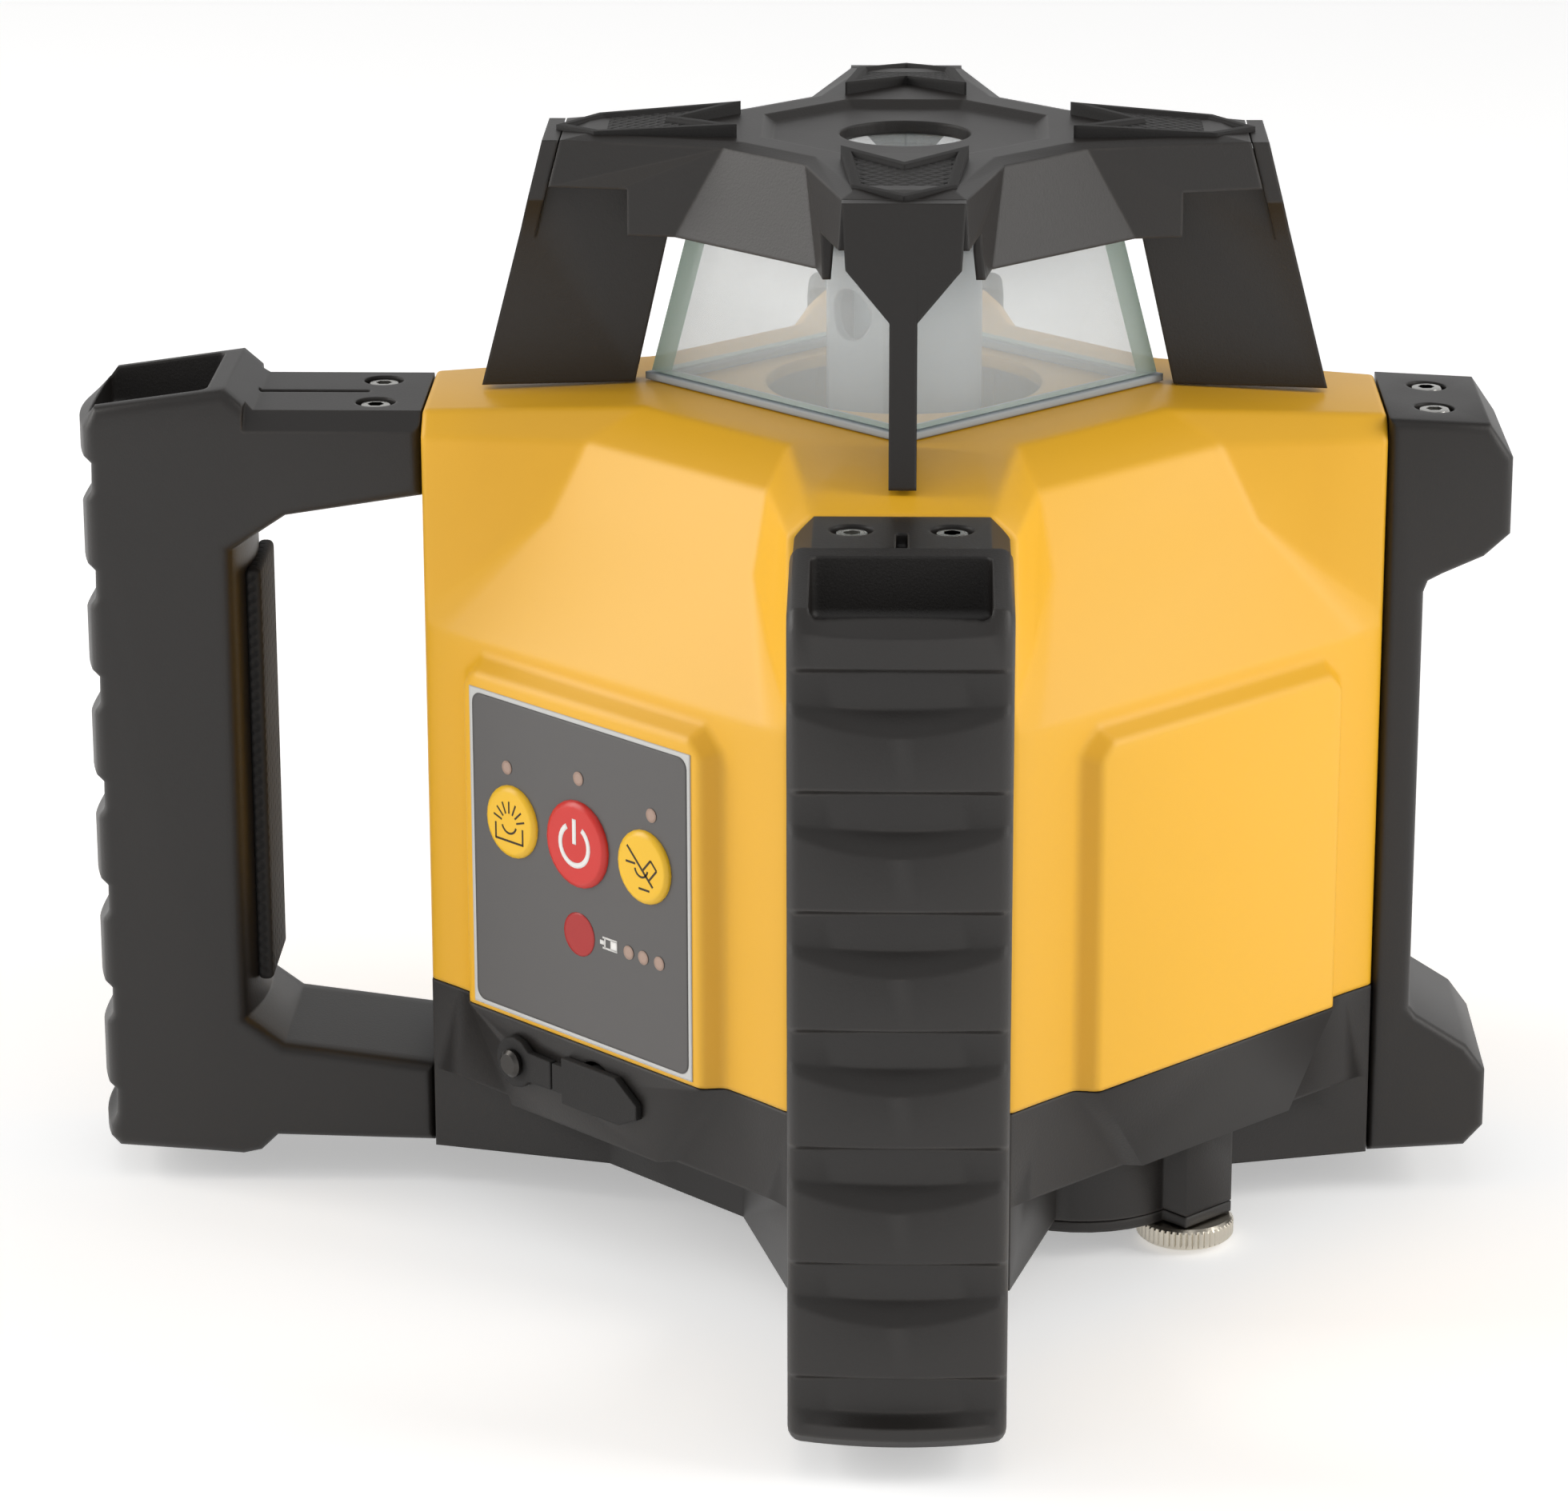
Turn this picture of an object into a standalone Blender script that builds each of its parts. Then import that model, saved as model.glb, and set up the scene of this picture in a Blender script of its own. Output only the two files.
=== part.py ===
"""Rotating laser level: a self-levelling rotary laser in a cross-shaped housing.

The body is a yellow housing shell on a black base shell, both cross-shaped in plan, with a
carrying handle on each front arm and a bumper on each rear arm.  Four glass panes stand on
the housing round the turning laser head, and four posts carry the cap over them.  Inside,
a two-axis gimbal levels the head, and a belt turns it.

Frame: metres, +Z up, keypad facing -Y.  The origin is on the surface the level stands on,
under the middle of its bounding box; the head's axis is AXIS_Y behind it.
"""

import math

import bmesh
import bpy
from mathutils import Matrix, Vector

MM = 0.001
GAP = 0.3 * MM

# ---- Overall heights, from the tripod boss's underside -------------------------------------
SHOULDER_Z = 171 * MM          # top of the housing where the handles bolt on
SPLIT_Z = 47.3 * MM            # the seam between the housing and the base
BASE_STEP_Z = 26.8 * MM        # underside of the base's wide part
BASE_FLOOR_Z = 9.2 * MM        # underside of the base's arms
POD_Z = 6.2 * MM               # underside of the battery pod and its door
CAP_RIM_Z = SHOULDER_Z + 55.6 * MM     # top edge of the cap's arms

# ---- The cross-shaped body -----------------------------------------------------------------
ARM_REACH = 100 * MM           # from the axis to the joint faces of handles and bumpers
ARM_HALF = 22.4 * MM           # half the arm's width at the joint
ARM_TOP_HALF = 17.5 * MM       # the same along the top, inside the chamfer
BODY_FACE = 86.3 * MM          # from the axis to each of the four side faces
CHAMFER_DROP = 4.5 * MM
WAIST_DROP = 20.5 * MM         # the upper slope's lower edge at its corner
LEDGE_DROP = 45 * MM           # the lower slope's lower edge
SHELL_WALL = 2.8 * MM
SHELL_TOP = 3 * MM
CROWN_RISE = 2.3 * MM          # the shoulder rises this much towards the glass

# ---- Keypad --------------------------------------------------------------------------------
KEYPAD_WIDTH = 67.4 * MM
KEYPAD_TALL = 69.3 * MM
KEYPAD_THICK = 1.1 * MM
KEYPAD_TOP_DROP = 53.4 * MM
BUTTON_DROP = 80 * MM
POWER_RADIUS = 9.3 * MM
MODE_RADIUS = 7.8 * MM
MODE_PITCH = 20.3 * MM
BUTTON_PROUD = 1.2 * MM
BUTTON_TRAVEL = 0.8 * MM
SENSOR_DROP = 99.5 * MM
SENSOR_RADIUS = 4.7 * MM

# ---- Raised panels on the side faces -------------------------------------------------------
PANEL_PROUD = 4 * MM
PANEL_WIDTH = KEYPAD_WIDTH + 10.6 * MM
PANEL_SHIFT = 2.5 * MM         # the panels sit this far from the face's middle
# a side face ends just past its panel, this far across from its arm's centre line
FACE_END = (BODY_FACE - PANEL_WIDTH / 2 - PANEL_SHIFT - 5.202 * MM) / math.sqrt(2)
PANEL_DROP = 47.6 * MM         # the panel's top edge, below the shoulder
PANEL_SOFT = 3 * MM

# ---- Glass, posts and cap ------------------------------------------------------------------
GLASS_CORNER = 53.2 * MM       # from the axis to the glass corners at their foot
GLASS_LEAN = 0.258             # how much the corners come in for each unit of height
GLASS_THICK = 3 * MM
GLASS_TOP_Z = SHOULDER_Z + 50.5 * MM
FRAME_TALL = 1.5 * MM
FRAME_SIDE = 4.4 * MM
HEAD_OPENING = 29 * MM         # radius of the round opening in the housing's top
POST_HALF = 2.73 * MM
POST_FOOT = (GLASS_CORNER + 3.2 * MM, 88.6 * MM)
POST_TOP_INNER = GLASS_CORNER - 7.9 * MM
POST_FLANGE_HALF = 12.15 * MM
POST_FLANGE_THICK = 3.4 * MM
CAP_ARM = 74.6 * MM
CAP_WAIST = (37 * MM, 20 * MM)
CAP_SKIRT = (47.2 * MM, 17.6 * MM)
CAP_SKIRT_DROP = 19 * MM
CAP_NOTCH_DROP = 9.6 * MM
CAP_WALL = 2.4 * MM
CAP_HOLE = 13.7 * MM
PAD_THICK = 2.4 * MM

# ---- Handles and bumpers -------------------------------------------------------------------
HANDLE_REACH = ARM_REACH + 73.4 * MM
HANDLE_HALF = 20.8 * MM
GRIP_INNER = ARM_REACH + 37.4 * MM     # from the axis to the grip's hand side
GRIP_PAD_THICK = 2.2 * MM
GRIP_PAD_HALF = 12.5 * MM
UPPER_ARM_UNDER = 20 * MM      # underside of the handle's upper arm, below the shoulder
LOWER_ARM_OVER = 19.8 * MM     # top of its lower arm, above the base's floor
HANDLE_FOOT = 3.6 * MM         # lowest point of the handle, below the base's floor
GROOVES = 7
GROOVE_FIRST = 14.8 * MM       # the first groove below the shoulder
GROOVE_LAST = 7.8 * MM         # the last groove above the base's floor
GROOVE_DEEP = 4.2 * MM
BUMPER_REACH = ARM_REACH + 28 * MM
BUMPER_WALL = 8.6 * MM
SCREW_RADIUS = ARM_REACH + 10.4 * MM   # the fixing screws, out from the axis
SCREW_APART = 19.2 * MM
SCREW_SEAT = 4.25 * MM
SCREW_SEAT_DEEP = 3.5 * MM
SCREW_SHANK = 2 * MM
SCREW_DEEP = 14 * MM

# ---- Battery pod, thumb screw, tripod thread -----------------------------------------------
CELL_RADIUS = 7.15 * MM
CELL_LONG = 49.5 * MM
CELL_SPACING = CELL_RADIUS + GAP       # from the bay's centre to each cell's, along X and Y
DOOR_THICK = 2.2 * MM
SPRING_ROOM = 6.6 * MM         # from the door to the cells
CAP_ROOM = 2 * MM              # over the cells
BAY_WALL = 1.5 * MM
BAY_RADIUS = CELL_SPACING * math.sqrt(2) + CELL_RADIUS + 1.7 * MM + BAY_WALL
BAY_TOP_Z = POD_Z + DOOR_THICK + SPRING_ROOM + CELL_LONG + CAP_ROOM + BAY_WALL
POD_OUT = 53.7 * MM            # centre of the round battery bay, out from the axis
POD_RADIUS = BAY_RADIUS + 3.1 * MM
LUG = (POD_OUT + 6.3 * MM, POD_OUT + POD_RADIUS + 6.3 * MM, 0.6 * MM, 14.6 * MM)
THUMB_AT = (POD_OUT + POD_RADIUS - 0.1 * MM, 7.4 * MM)
THUMB_RADIUS = 10.2 * MM
THUMB_TALL = 4.7 * MM
THUMB_SHANK = 2.5 * MM
BOSS_RADIUS = 22 * MM
INSERT_RADIUS = 10.5 * MM
THREAD_RADIUS = 7.94 * MM      # 5/8 inch tripod thread

# ---- Charging socket and its flap ----------------------------------------------------------
FLAP_Z = SPLIT_Z - 8.7 * MM
FLAP_HALF_TALL = 5 * MM
FLAP_THICK = 1.6 * MM
FLAP_SPAN = (-7 * MM, 9.5 * MM, 16 * MM)
FLAP_SCREW_X = -22 * MM
SOCKET_X = 1.5 * MM
SOCKET_RADIUS = 5.6 * MM
SOCKET_BORE = 3.2 * MM

# ---- Levelling gimbal and head drive -------------------------------------------------------
PIVOT_Z = SHOULDER_Z - 31 * MM
RING_INNER = 24 * MM
RING_OUTER = 30 * MM
RING_TALL = 9 * MM
PIN_RADIUS = 2 * MM
PIN_FIT = 0.35 * MM
CARRIER_RADIUS = 18.6 * MM
BEARING_OUTER = 13.5 * MM
SPINDLE_RADIUS = 8.8 * MM
SPINDLE_BORE = 6 * MM
HEAD_RADIUS = 16.3 * MM
HEAD_FOOT_Z = SHOULDER_Z - 3 * MM
HEAD_TOP_Z = SHOULDER_Z + 33 * MM
BEAM_Z = SHOULDER_Z + 19 * MM
PULLEY_Z = PIVOT_Z - 29 * MM
PULLEY_TALL = 5 * MM
HEAD_PULLEY = 12 * MM
MOTOR_PULLEY = 5 * MM
MOTOR_OFFSET = 32 * MM
MOTOR_RADIUS = 7.5 * MM
MOTOR_LONG = 10.5 * MM
BELT_THICK = 1.2 * MM
CHASSIS_Z = PIVOT_Z - 37 * MM
LEVEL_ARM = 42 * MM            # from the gimbal's pivots to the levelling screws
NUT_SLOT = 7.6 * MM            # wide enough for a lever that also leans the other way

# The handles reach further forward than the bumpers reach back, so the head's axis stands
# behind the middle of the bounding box.
AXIS_Y = (HANDLE_REACH + HANDLE_HALF - BUMPER_REACH - ARM_HALF) / (2 * math.sqrt(2))


# ---- Small tools ---------------------------------------------------------------------------
def clear_scene():
    for old in list(bpy.data.objects):
        bpy.data.objects.remove(old, do_unlink=True)
    for old in list(bpy.data.collections):
        bpy.data.collections.remove(old)


clear_scene()
PARTS = bpy.data.collections.new("rotating_laser_level")
CUTTERS = bpy.data.collections.new("cutters")
bpy.context.scene.collection.children.link(PARTS)
bpy.context.scene.collection.children.link(CUTTERS)


def empty(name, place=(0, 0, 0), parent=None):
    holder = bpy.data.objects.new(name, None)
    holder.empty_display_size = 0.02
    holder.location = place
    holder.parent = parent
    PARTS.objects.link(holder)
    return holder


AXIS = empty("head_axis", (0, AXIS_Y, 0))


def finish_material(name, colour, roughness, metallic=0.0, transmission=0.0):
    mat = bpy.data.materials.new(name)
    mat.use_nodes = True
    mat.diffuse_color = (*colour, 1)
    shader = mat.node_tree.nodes["Principled BSDF"]
    shader.inputs["Base Color"].default_value = (*colour, 1)
    shader.inputs["Roughness"].default_value = roughness
    shader.inputs["Metallic"].default_value = metallic
    shader.inputs["Transmission Weight"].default_value = transmission
    return mat


FINISHES = {
    "yellow": ((0.93, 0.47, 0.03), 0.42, 0.0),
    "black": ((0.045, 0.042, 0.040), 0.55, 0.0),
    "rubber": ((0.035, 0.034, 0.034), 0.75, 0.0),
    "panel": ((0.13, 0.13, 0.135), 0.5, 0.0),
    "red": ((0.78, 0.05, 0.05), 0.4, 0.0),
    "lemon": ((0.86, 0.62, 0.04), 0.4, 0.0),
    "nickel": ((0.72, 0.70, 0.66), 0.3, 1.0),
    "steel": ((0.55, 0.55, 0.56), 0.35, 1.0),
    "brass": ((0.75, 0.55, 0.22), 0.35, 1.0),
    "alloy": ((0.66, 0.67, 0.69), 0.4, 1.0),
    "head_grey": ((0.55, 0.57, 0.60), 0.4, 0.0),
    "frame_grey": ((0.35, 0.39, 0.44), 0.6, 0.0),
    "board": ((0.02, 0.20, 0.08), 0.5, 0.0),
    "cell": ((0.08, 0.20, 0.38), 0.35, 0.0),
    "glass": ((0.93, 0.98, 0.96), 0.03, 0.0),
}


def show(obj, finish, parent=None):
    """Puts a finished sub-part in the object's collection with a material of its own."""
    colour, roughness, metallic = FINISHES[finish]
    clear = 1.0 if finish == "glass" else 0.0
    obj.data.materials.clear()
    obj.data.materials.append(finish_material(obj.name, colour, roughness, metallic, clear))
    obj.parent = parent or AXIS
    PARTS.objects.link(obj)
    return obj


def tool(obj):
    """Puts a solid that cuts or joins in the cutters' collection."""
    obj.hide_render = True
    obj.display_type = "WIRE"
    obj.parent = AXIS
    CUTTERS.objects.link(obj)
    return obj


def boolean(target, other, operation):
    change = target.modifiers.new(f"{operation.lower()} {other.name}", "BOOLEAN")
    change.operation = operation
    change.solver = "EXACT"
    change.object = other


def cut(target, *others):
    for other in others:
        boolean(target, tool(other), "DIFFERENCE")


def join(target, *others):
    for other in others:
        boolean(target, tool(other), "UNION")


def mesh_object(name, bm):
    mesh = bpy.data.meshes.new(name)
    bmesh.ops.recalc_face_normals(bm, faces=bm.faces)
    bm.to_mesh(mesh)
    bm.free()
    return bpy.data.objects.new(name, mesh)


def block(name, low, high):
    """A box between two corners."""
    low, high = Vector(low), Vector(high)
    bm = bmesh.new()
    bmesh.ops.create_cube(bm, size=1)
    size = Matrix.Diagonal((*(high - low), 1))
    bmesh.ops.transform(bm, matrix=Matrix.Translation((low + high) / 2) @ size, verts=bm.verts)
    return mesh_object(name, bm)


def rod(name, radius, start, end, segments=24, end_radius=None):
    """A round bar or cone from one point to another."""
    start, end = Vector(start), Vector(end)
    along = end - start
    bm = bmesh.new()
    bmesh.ops.create_cone(bm, cap_ends=True, segments=segments, radius1=radius,
                          radius2=end_radius or radius, depth=along.length)
    turn = Vector((0, 0, 1)).rotation_difference(along).to_matrix().to_4x4()
    bmesh.ops.transform(bm, matrix=Matrix.Translation((start + end) / 2) @ turn, verts=bm.verts)
    return mesh_object(name, bm)


def loft(name, sections):
    """A closed solid through sections of equally many points, given from one end."""
    bm = bmesh.new()
    rings = [[bm.verts.new(point) for point in section] for section in sections]
    for lower, upper in zip(rings, rings[1:]):
        for i, corner in enumerate(lower):
            beside = (i + 1) % len(lower)
            bm.faces.new((corner, lower[beside], upper[beside], upper[i]))
    bm.faces.new(rings[0])
    bm.faces.new(rings[-1])
    return mesh_object(name, bm)


def outline_plate(name, outline, thickness, lay=Matrix()):
    """A flat outline in XY with half its thickness to each side, then laid in place."""
    curve = bpy.data.curves.new(name, "CURVE")
    curve.dimensions = "2D"
    curve.fill_mode = "BOTH"
    curve.extrude = thickness / 2
    spline = curve.splines.new("POLY")
    spline.points.add(len(outline) - 1)
    for point, (x, y) in zip(spline.points, outline):
        point.co = (x, y, 0, 1)
    spline.use_cyclic_u = True
    holder = bpy.data.objects.new(name, curve)
    bpy.context.scene.collection.objects.link(holder)
    graph = bpy.context.evaluated_depsgraph_get()
    mesh = bpy.data.meshes.new_from_object(holder.evaluated_get(graph))
    bpy.data.objects.remove(holder, do_unlink=True)
    bpy.data.curves.remove(curve)
    bm = bmesh.new()
    bm.from_mesh(mesh)
    bmesh.ops.remove_doubles(bm, verts=bm.verts, dist=0.00001)
    bmesh.ops.transform(bm, matrix=lay, verts=bm.verts)
    bpy.data.meshes.remove(mesh)
    return mesh_object(name, bm)


# An outline in (out, up) stands in the arm's middle plane after this turn, and one in
# (across, up) faces along Y.
STAND_ALONG_X = Matrix.Rotation(math.radians(90), 4, "X")


def turned(name, profile, steps=32, place=(0, 0, 0), turn=None):
    """A turned piece from a closed profile of (radius, height), outer side top to bottom."""
    mesh = bpy.data.meshes.new(name)
    points = [(radius, 0, height) for radius, height in profile]
    edges = [(i, (i + 1) % len(points)) for i in range(len(points))]
    if profile[0][0] == 0 and profile[-1][0] == 0:
        edges.pop()
    mesh.from_pydata(points, edges, [])
    obj = bpy.data.objects.new(name, mesh)
    spin = obj.modifiers.new("turn", "SCREW")
    spin.steps = steps
    spin.render_steps = steps
    spin.use_merge_vertices = True
    spin.merge_threshold = 0.00005
    obj.location = place
    if turn:
        obj.rotation_euler = turn
    return obj


def ring(name, outer, inner, low, high, steps=32, place=(0, 0, 0)):
    return turned(name, [(outer, high), (outer, low), (inner, low), (inner, high)], steps, place)


def soften(obj, width, segments=1, angle=40):
    edge = obj.modifiers.new("soft edges", "BEVEL")
    edge.width = width
    edge.segments = segments
    edge.limit_method = "ANGLE"
    edge.angle_limit = math.radians(angle)
    edge.use_clamp_overlap = True
    return obj


def round_four(half_arm):
    """Repeats (out, across, up) points of half an arm round the body's four arms."""
    points = []
    mirrored = [(out, -across, up) for out, across, up in half_arm]
    for quarter in range(4):
        turn = Matrix.Rotation(math.radians(45 + 90 * quarter), 3, "Z")
        points += [tuple(turn @ Vector(point)) for point in mirrored]
        points += [tuple(turn @ Vector(point)) for point in reversed(half_arm)]
    return points


def face_corner(face, across):
    """The point of a side face, this far from the axis, that lies across from its arm."""
    return face * math.sqrt(2) - across


# ---- Housing -------------------------------------------------------------------------------
def body_section(face, across, mid_share, half, reach, corner_z, joint_z):
    """Half an arm of the body's outline: the face's corner, a middle point, the joint."""
    out = face_corner(face, across)
    mid = out + (reach - out) * mid_share
    mid_across = across + (half - across) * mid_share
    mid_z = corner_z + (joint_z - corner_z) * mid_share
    return round_four([(out, across, corner_z), (mid, mid_across, mid_z), (reach, half, joint_z)])


UPPER_FACE = BODY_FACE - 32.2 * MM      # the top edge's distance from the axis
CHAMFER_FACE = BODY_FACE - 21 * MM
WAIST_FACE = BODY_FACE - 13.5 * MM
UPPER_ACROSS = 23 * MM
CHAMFER_ACROSS = 27 * MM
WAIST_ACROSS = 30 * MM
WAIST_JOINT_DROP = LEDGE_DROP - 5 * MM


def housing_sections(inset, top_z, foot_z):
    """The housing's outline from top to foot, or its hollow where inset is a wall."""
    reach = ARM_REACH - inset
    plateau = face_corner(UPPER_FACE - inset, UPPER_ACROSS)
    flat = [(plateau - 0.3 * MM, UPPER_ACROSS - 0.2 * MM, top_z + CROWN_RISE),
            (plateau + 1.5 * MM, UPPER_ACROSS - 2 * MM, top_z + CROWN_RISE),
            (plateau + 3 * MM, UPPER_ACROSS - 3.5 * MM, top_z + CROWN_RISE)]
    return [
        round_four(flat),
        body_section(UPPER_FACE - inset, UPPER_ACROSS, 0.68, ARM_TOP_HALF - inset / 2,
                     reach, top_z + CROWN_RISE - 0.1 * MM, top_z),
        body_section(CHAMFER_FACE - inset, CHAMFER_ACROSS - inset / 2, 0.6, ARM_HALF - inset,
                     reach, top_z - CHAMFER_DROP, top_z - CHAMFER_DROP),
        body_section(WAIST_FACE - inset, WAIST_ACROSS - inset / 2, 0.5, ARM_HALF - inset,
                     reach, top_z - WAIST_DROP, top_z - WAIST_JOINT_DROP),
        body_section(BODY_FACE - inset, FACE_END - inset / 2, 0.5, ARM_HALF - inset,
                     reach, SHOULDER_Z - LEDGE_DROP, SHOULDER_Z - LEDGE_DROP),
        body_section(BODY_FACE - inset, FACE_END - inset / 2, 0.5, ARM_HALF - inset,
                     reach, foot_z, foot_z),
    ]


def face_turn(quarter):
    """Turns a shape drawn on the front face onto the face a number of quarters round."""
    return Matrix.Rotation(math.radians(90 * quarter), 4, "Z")


PANEL_FACE = BODY_FACE + PANEL_PROUD
# Each face's panel is shifted along its own face; seen from outside, + is to the right.
PANEL_SHIFTS = {0: -PANEL_SHIFT, 1: PANEL_SHIFT, 2: -PANEL_SHIFT, 3: PANEL_SHIFT}


def housing_panel(quarter):
    half = PANEL_WIDTH / 2
    top = SHOULDER_Z - PANEL_DROP
    shift = PANEL_SHIFTS[quarter]
    nib = 5 * MM
    sections = []
    for depth, draw in ((PANEL_FACE, PANEL_SOFT), (BODY_FACE, 0), (BODY_FACE - 2 * MM, 0)):
        side, high, low = half - draw, top - draw, SPLIT_Z + GAP / 2
        outline = [(-side, low), (-side, high - nib), (nib - side, high),
                   (side - nib, high), (side, high - nib), (side, low)]
        sections.append([face_turn(quarter) @ Vector((x + shift, -depth, z)) for x, z in outline])
    return loft(f"panel_{quarter}", sections)


def build_housing():
    housing = loft("housing_shell", housing_sections(0, SHOULDER_Z, SPLIT_Z + GAP / 2))
    join(housing, *[housing_panel(quarter) for quarter in range(4)])
    hollow = loft("housing_hollow",
                  housing_sections(SHELL_WALL, SHOULDER_Z - SHELL_TOP, SPLIT_Z - 10 * MM))
    opening = rod("head_opening", HEAD_OPENING, (0, 0, SHOULDER_Z - 10 * MM),
                  (0, 0, SHOULDER_Z + 10 * MM), 48)
    cut(housing, hollow, opening)
    return show(housing, "yellow")


# ---- Keypad --------------------------------------------------------------------------------
KEYPAD_X = PANEL_SHIFTS[0]
KEYPAD_SKIN = PANEL_FACE + 0.2 * MM
KEYPAD_WALL = 1.6 * MM
KEYPAD_TOP = SHOULDER_Z - KEYPAD_TOP_DROP
KEYPAD_LOW = KEYPAD_TOP - KEYPAD_TALL
BUTTON_Z = SHOULDER_Z - BUTTON_DROP
POCKET_BACK = KEYPAD_SKIN - KEYPAD_THICK - GAP - KEYPAD_WALL
BUTTONS = {
    "power_button": (KEYPAD_X, POWER_RADIUS, "red"),
    "scan_button": (KEYPAD_X - MODE_PITCH, MODE_RADIUS, "lemon"),
    "manual_button": (KEYPAD_X + MODE_PITCH, MODE_RADIUS, "lemon"),
}
BUTTON_FIT = 0.35 * MM
FLANGE_LIP = 1.1 * MM
FLANGE_THICK = 1 * MM


def build_keypad(housing):
    half = KEYPAD_WIDTH / 2
    skin = block("keypad_plate", (KEYPAD_X - half, -KEYPAD_SKIN, KEYPAD_LOW),
                 (KEYPAD_X + half, -(KEYPAD_SKIN - KEYPAD_THICK), KEYPAD_TOP))
    seat_back = KEYPAD_SKIN - KEYPAD_THICK - GAP
    seat = block("keypad_seat", (KEYPAD_X - half - GAP, -KEYPAD_SKIN - 5 * MM, KEYPAD_LOW - GAP),
                 (KEYPAD_X + half + GAP, -seat_back, KEYPAD_TOP + GAP))
    pocket = block("keypad_pocket", (KEYPAD_X - half + 2 * MM, -POCKET_BACK, KEYPAD_LOW + 4 * MM),
                   (KEYPAD_X + half - 2 * MM, -(BODY_FACE - SHELL_WALL - 3 * MM),
                    KEYPAD_TOP - 4 * MM))
    cut(housing, seat, pocket)
    show(skin, "panel")
    for name, (x, radius, finish) in BUTTONS.items():
        build_button(name, x, radius, finish, housing, skin)
    build_sensor(housing, skin)


def through_keypad(name, x, z, radius, housing, skin):
    hole = rod(name, radius, (x, -KEYPAD_SKIN - 5 * MM, z), (x, -(POCKET_BACK - 2 * MM), z), 28)
    cut(housing, hole)
    boolean(skin, hole, "DIFFERENCE")


def build_button(name, x, radius, finish, housing, skin):
    """A button: a domed cap in the keypad's hole, held from behind by its own flange."""
    through_keypad(f"{name}_hole", x, BUTTON_Z, radius + BUTTON_FIT, housing, skin)
    front = KEYPAD_SKIN + BUTTON_PROUD
    back = POCKET_BACK - BUTTON_FIT
    profile = [(0, front), (radius - 1 * MM, front), (radius, front - 0.6 * MM), (radius, back),
               (radius + FLANGE_LIP, back), (radius + FLANGE_LIP, back - FLANGE_THICK),
               (0, back - FLANGE_THICK)]
    along_y = [(r, depth) for r, depth in profile]
    key = turned(name, along_y, 28, (x, 0, BUTTON_Z), (math.radians(90), 0, 0))
    show(key, finish)


def build_sensor(housing, skin):
    """The remote control's receiving window, and the indicator lights' board behind."""
    z = SHOULDER_Z - SENSOR_DROP
    through_keypad("sensor_hole", KEYPAD_X, z, SENSOR_RADIUS + BUTTON_FIT, housing, skin)
    window = rod("sensor_window", SENSOR_RADIUS, (KEYPAD_X, -KEYPAD_SKIN - 0.2 * MM, z),
                 (KEYPAD_X, -(POCKET_BACK - 0.5 * MM), z), 24)
    show(window, "red")
    board_front = POCKET_BACK - BUTTON_FIT - FLANGE_THICK - BUTTON_TRAVEL - 0.6 * MM
    half = KEYPAD_WIDTH / 2 - 3.5 * MM
    board = block("keypad_board", (KEYPAD_X - half, -board_front, KEYPAD_LOW + 6 * MM),
                  (KEYPAD_X + half, -(board_front - 1.6 * MM), KEYPAD_TOP - 6 * MM))
    show(board, "board")


# ---- Base ----------------------------------------------------------------------------------
LOWER_FACE = 66.8 * MM
LOWER_ACROSS = 32.5 * MM
BASE_WALL = 3 * MM
STANDOFF_RADIUS = 4 * MM
STANDOFF_AT = (37 * MM, 47 * MM)


def base_sections(inset, top_z, step_z, floor_z):
    reach = ARM_REACH - inset
    return [
        body_section(BODY_FACE - inset, FACE_END - inset / 2, 0.5, ARM_HALF - inset,
                     reach, top_z, top_z),
        body_section(BODY_FACE - inset, FACE_END - inset / 2, 0.5, ARM_HALF - inset,
                     reach, step_z + 0.4 * MM, step_z + 0.4 * MM),
        body_section(LOWER_FACE - inset, LOWER_ACROSS - inset / 2, 0.6, ARM_HALF - inset,
                     reach, step_z, step_z),
        body_section(LOWER_FACE - inset, LOWER_ACROSS - inset / 2, 0.6, ARM_HALF - inset,
                     reach, floor_z, floor_z),
    ]


def base_panel(quarter):
    """The panel's foot, which narrows towards the base's step."""
    half = PANEL_WIDTH / 2
    narrow = half - 13.5 * MM
    shift = PANEL_SHIFTS[quarter]
    top, low = SPLIT_Z - GAP / 2, BASE_STEP_Z + 0.9 * MM
    sections = []
    for depth, draw in ((PANEL_FACE, PANEL_SOFT), (BODY_FACE, 0), (BODY_FACE - 2 * MM, 0)):
        outline = [(-(narrow - draw), low), (-(half - draw), top),
                   (half - draw, top), (narrow - draw, low)]
        sections.append([face_turn(quarter) @ Vector((x + shift, -depth, z)) for x, z in outline])
    return loft(f"base_panel_{quarter}", sections)


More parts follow.
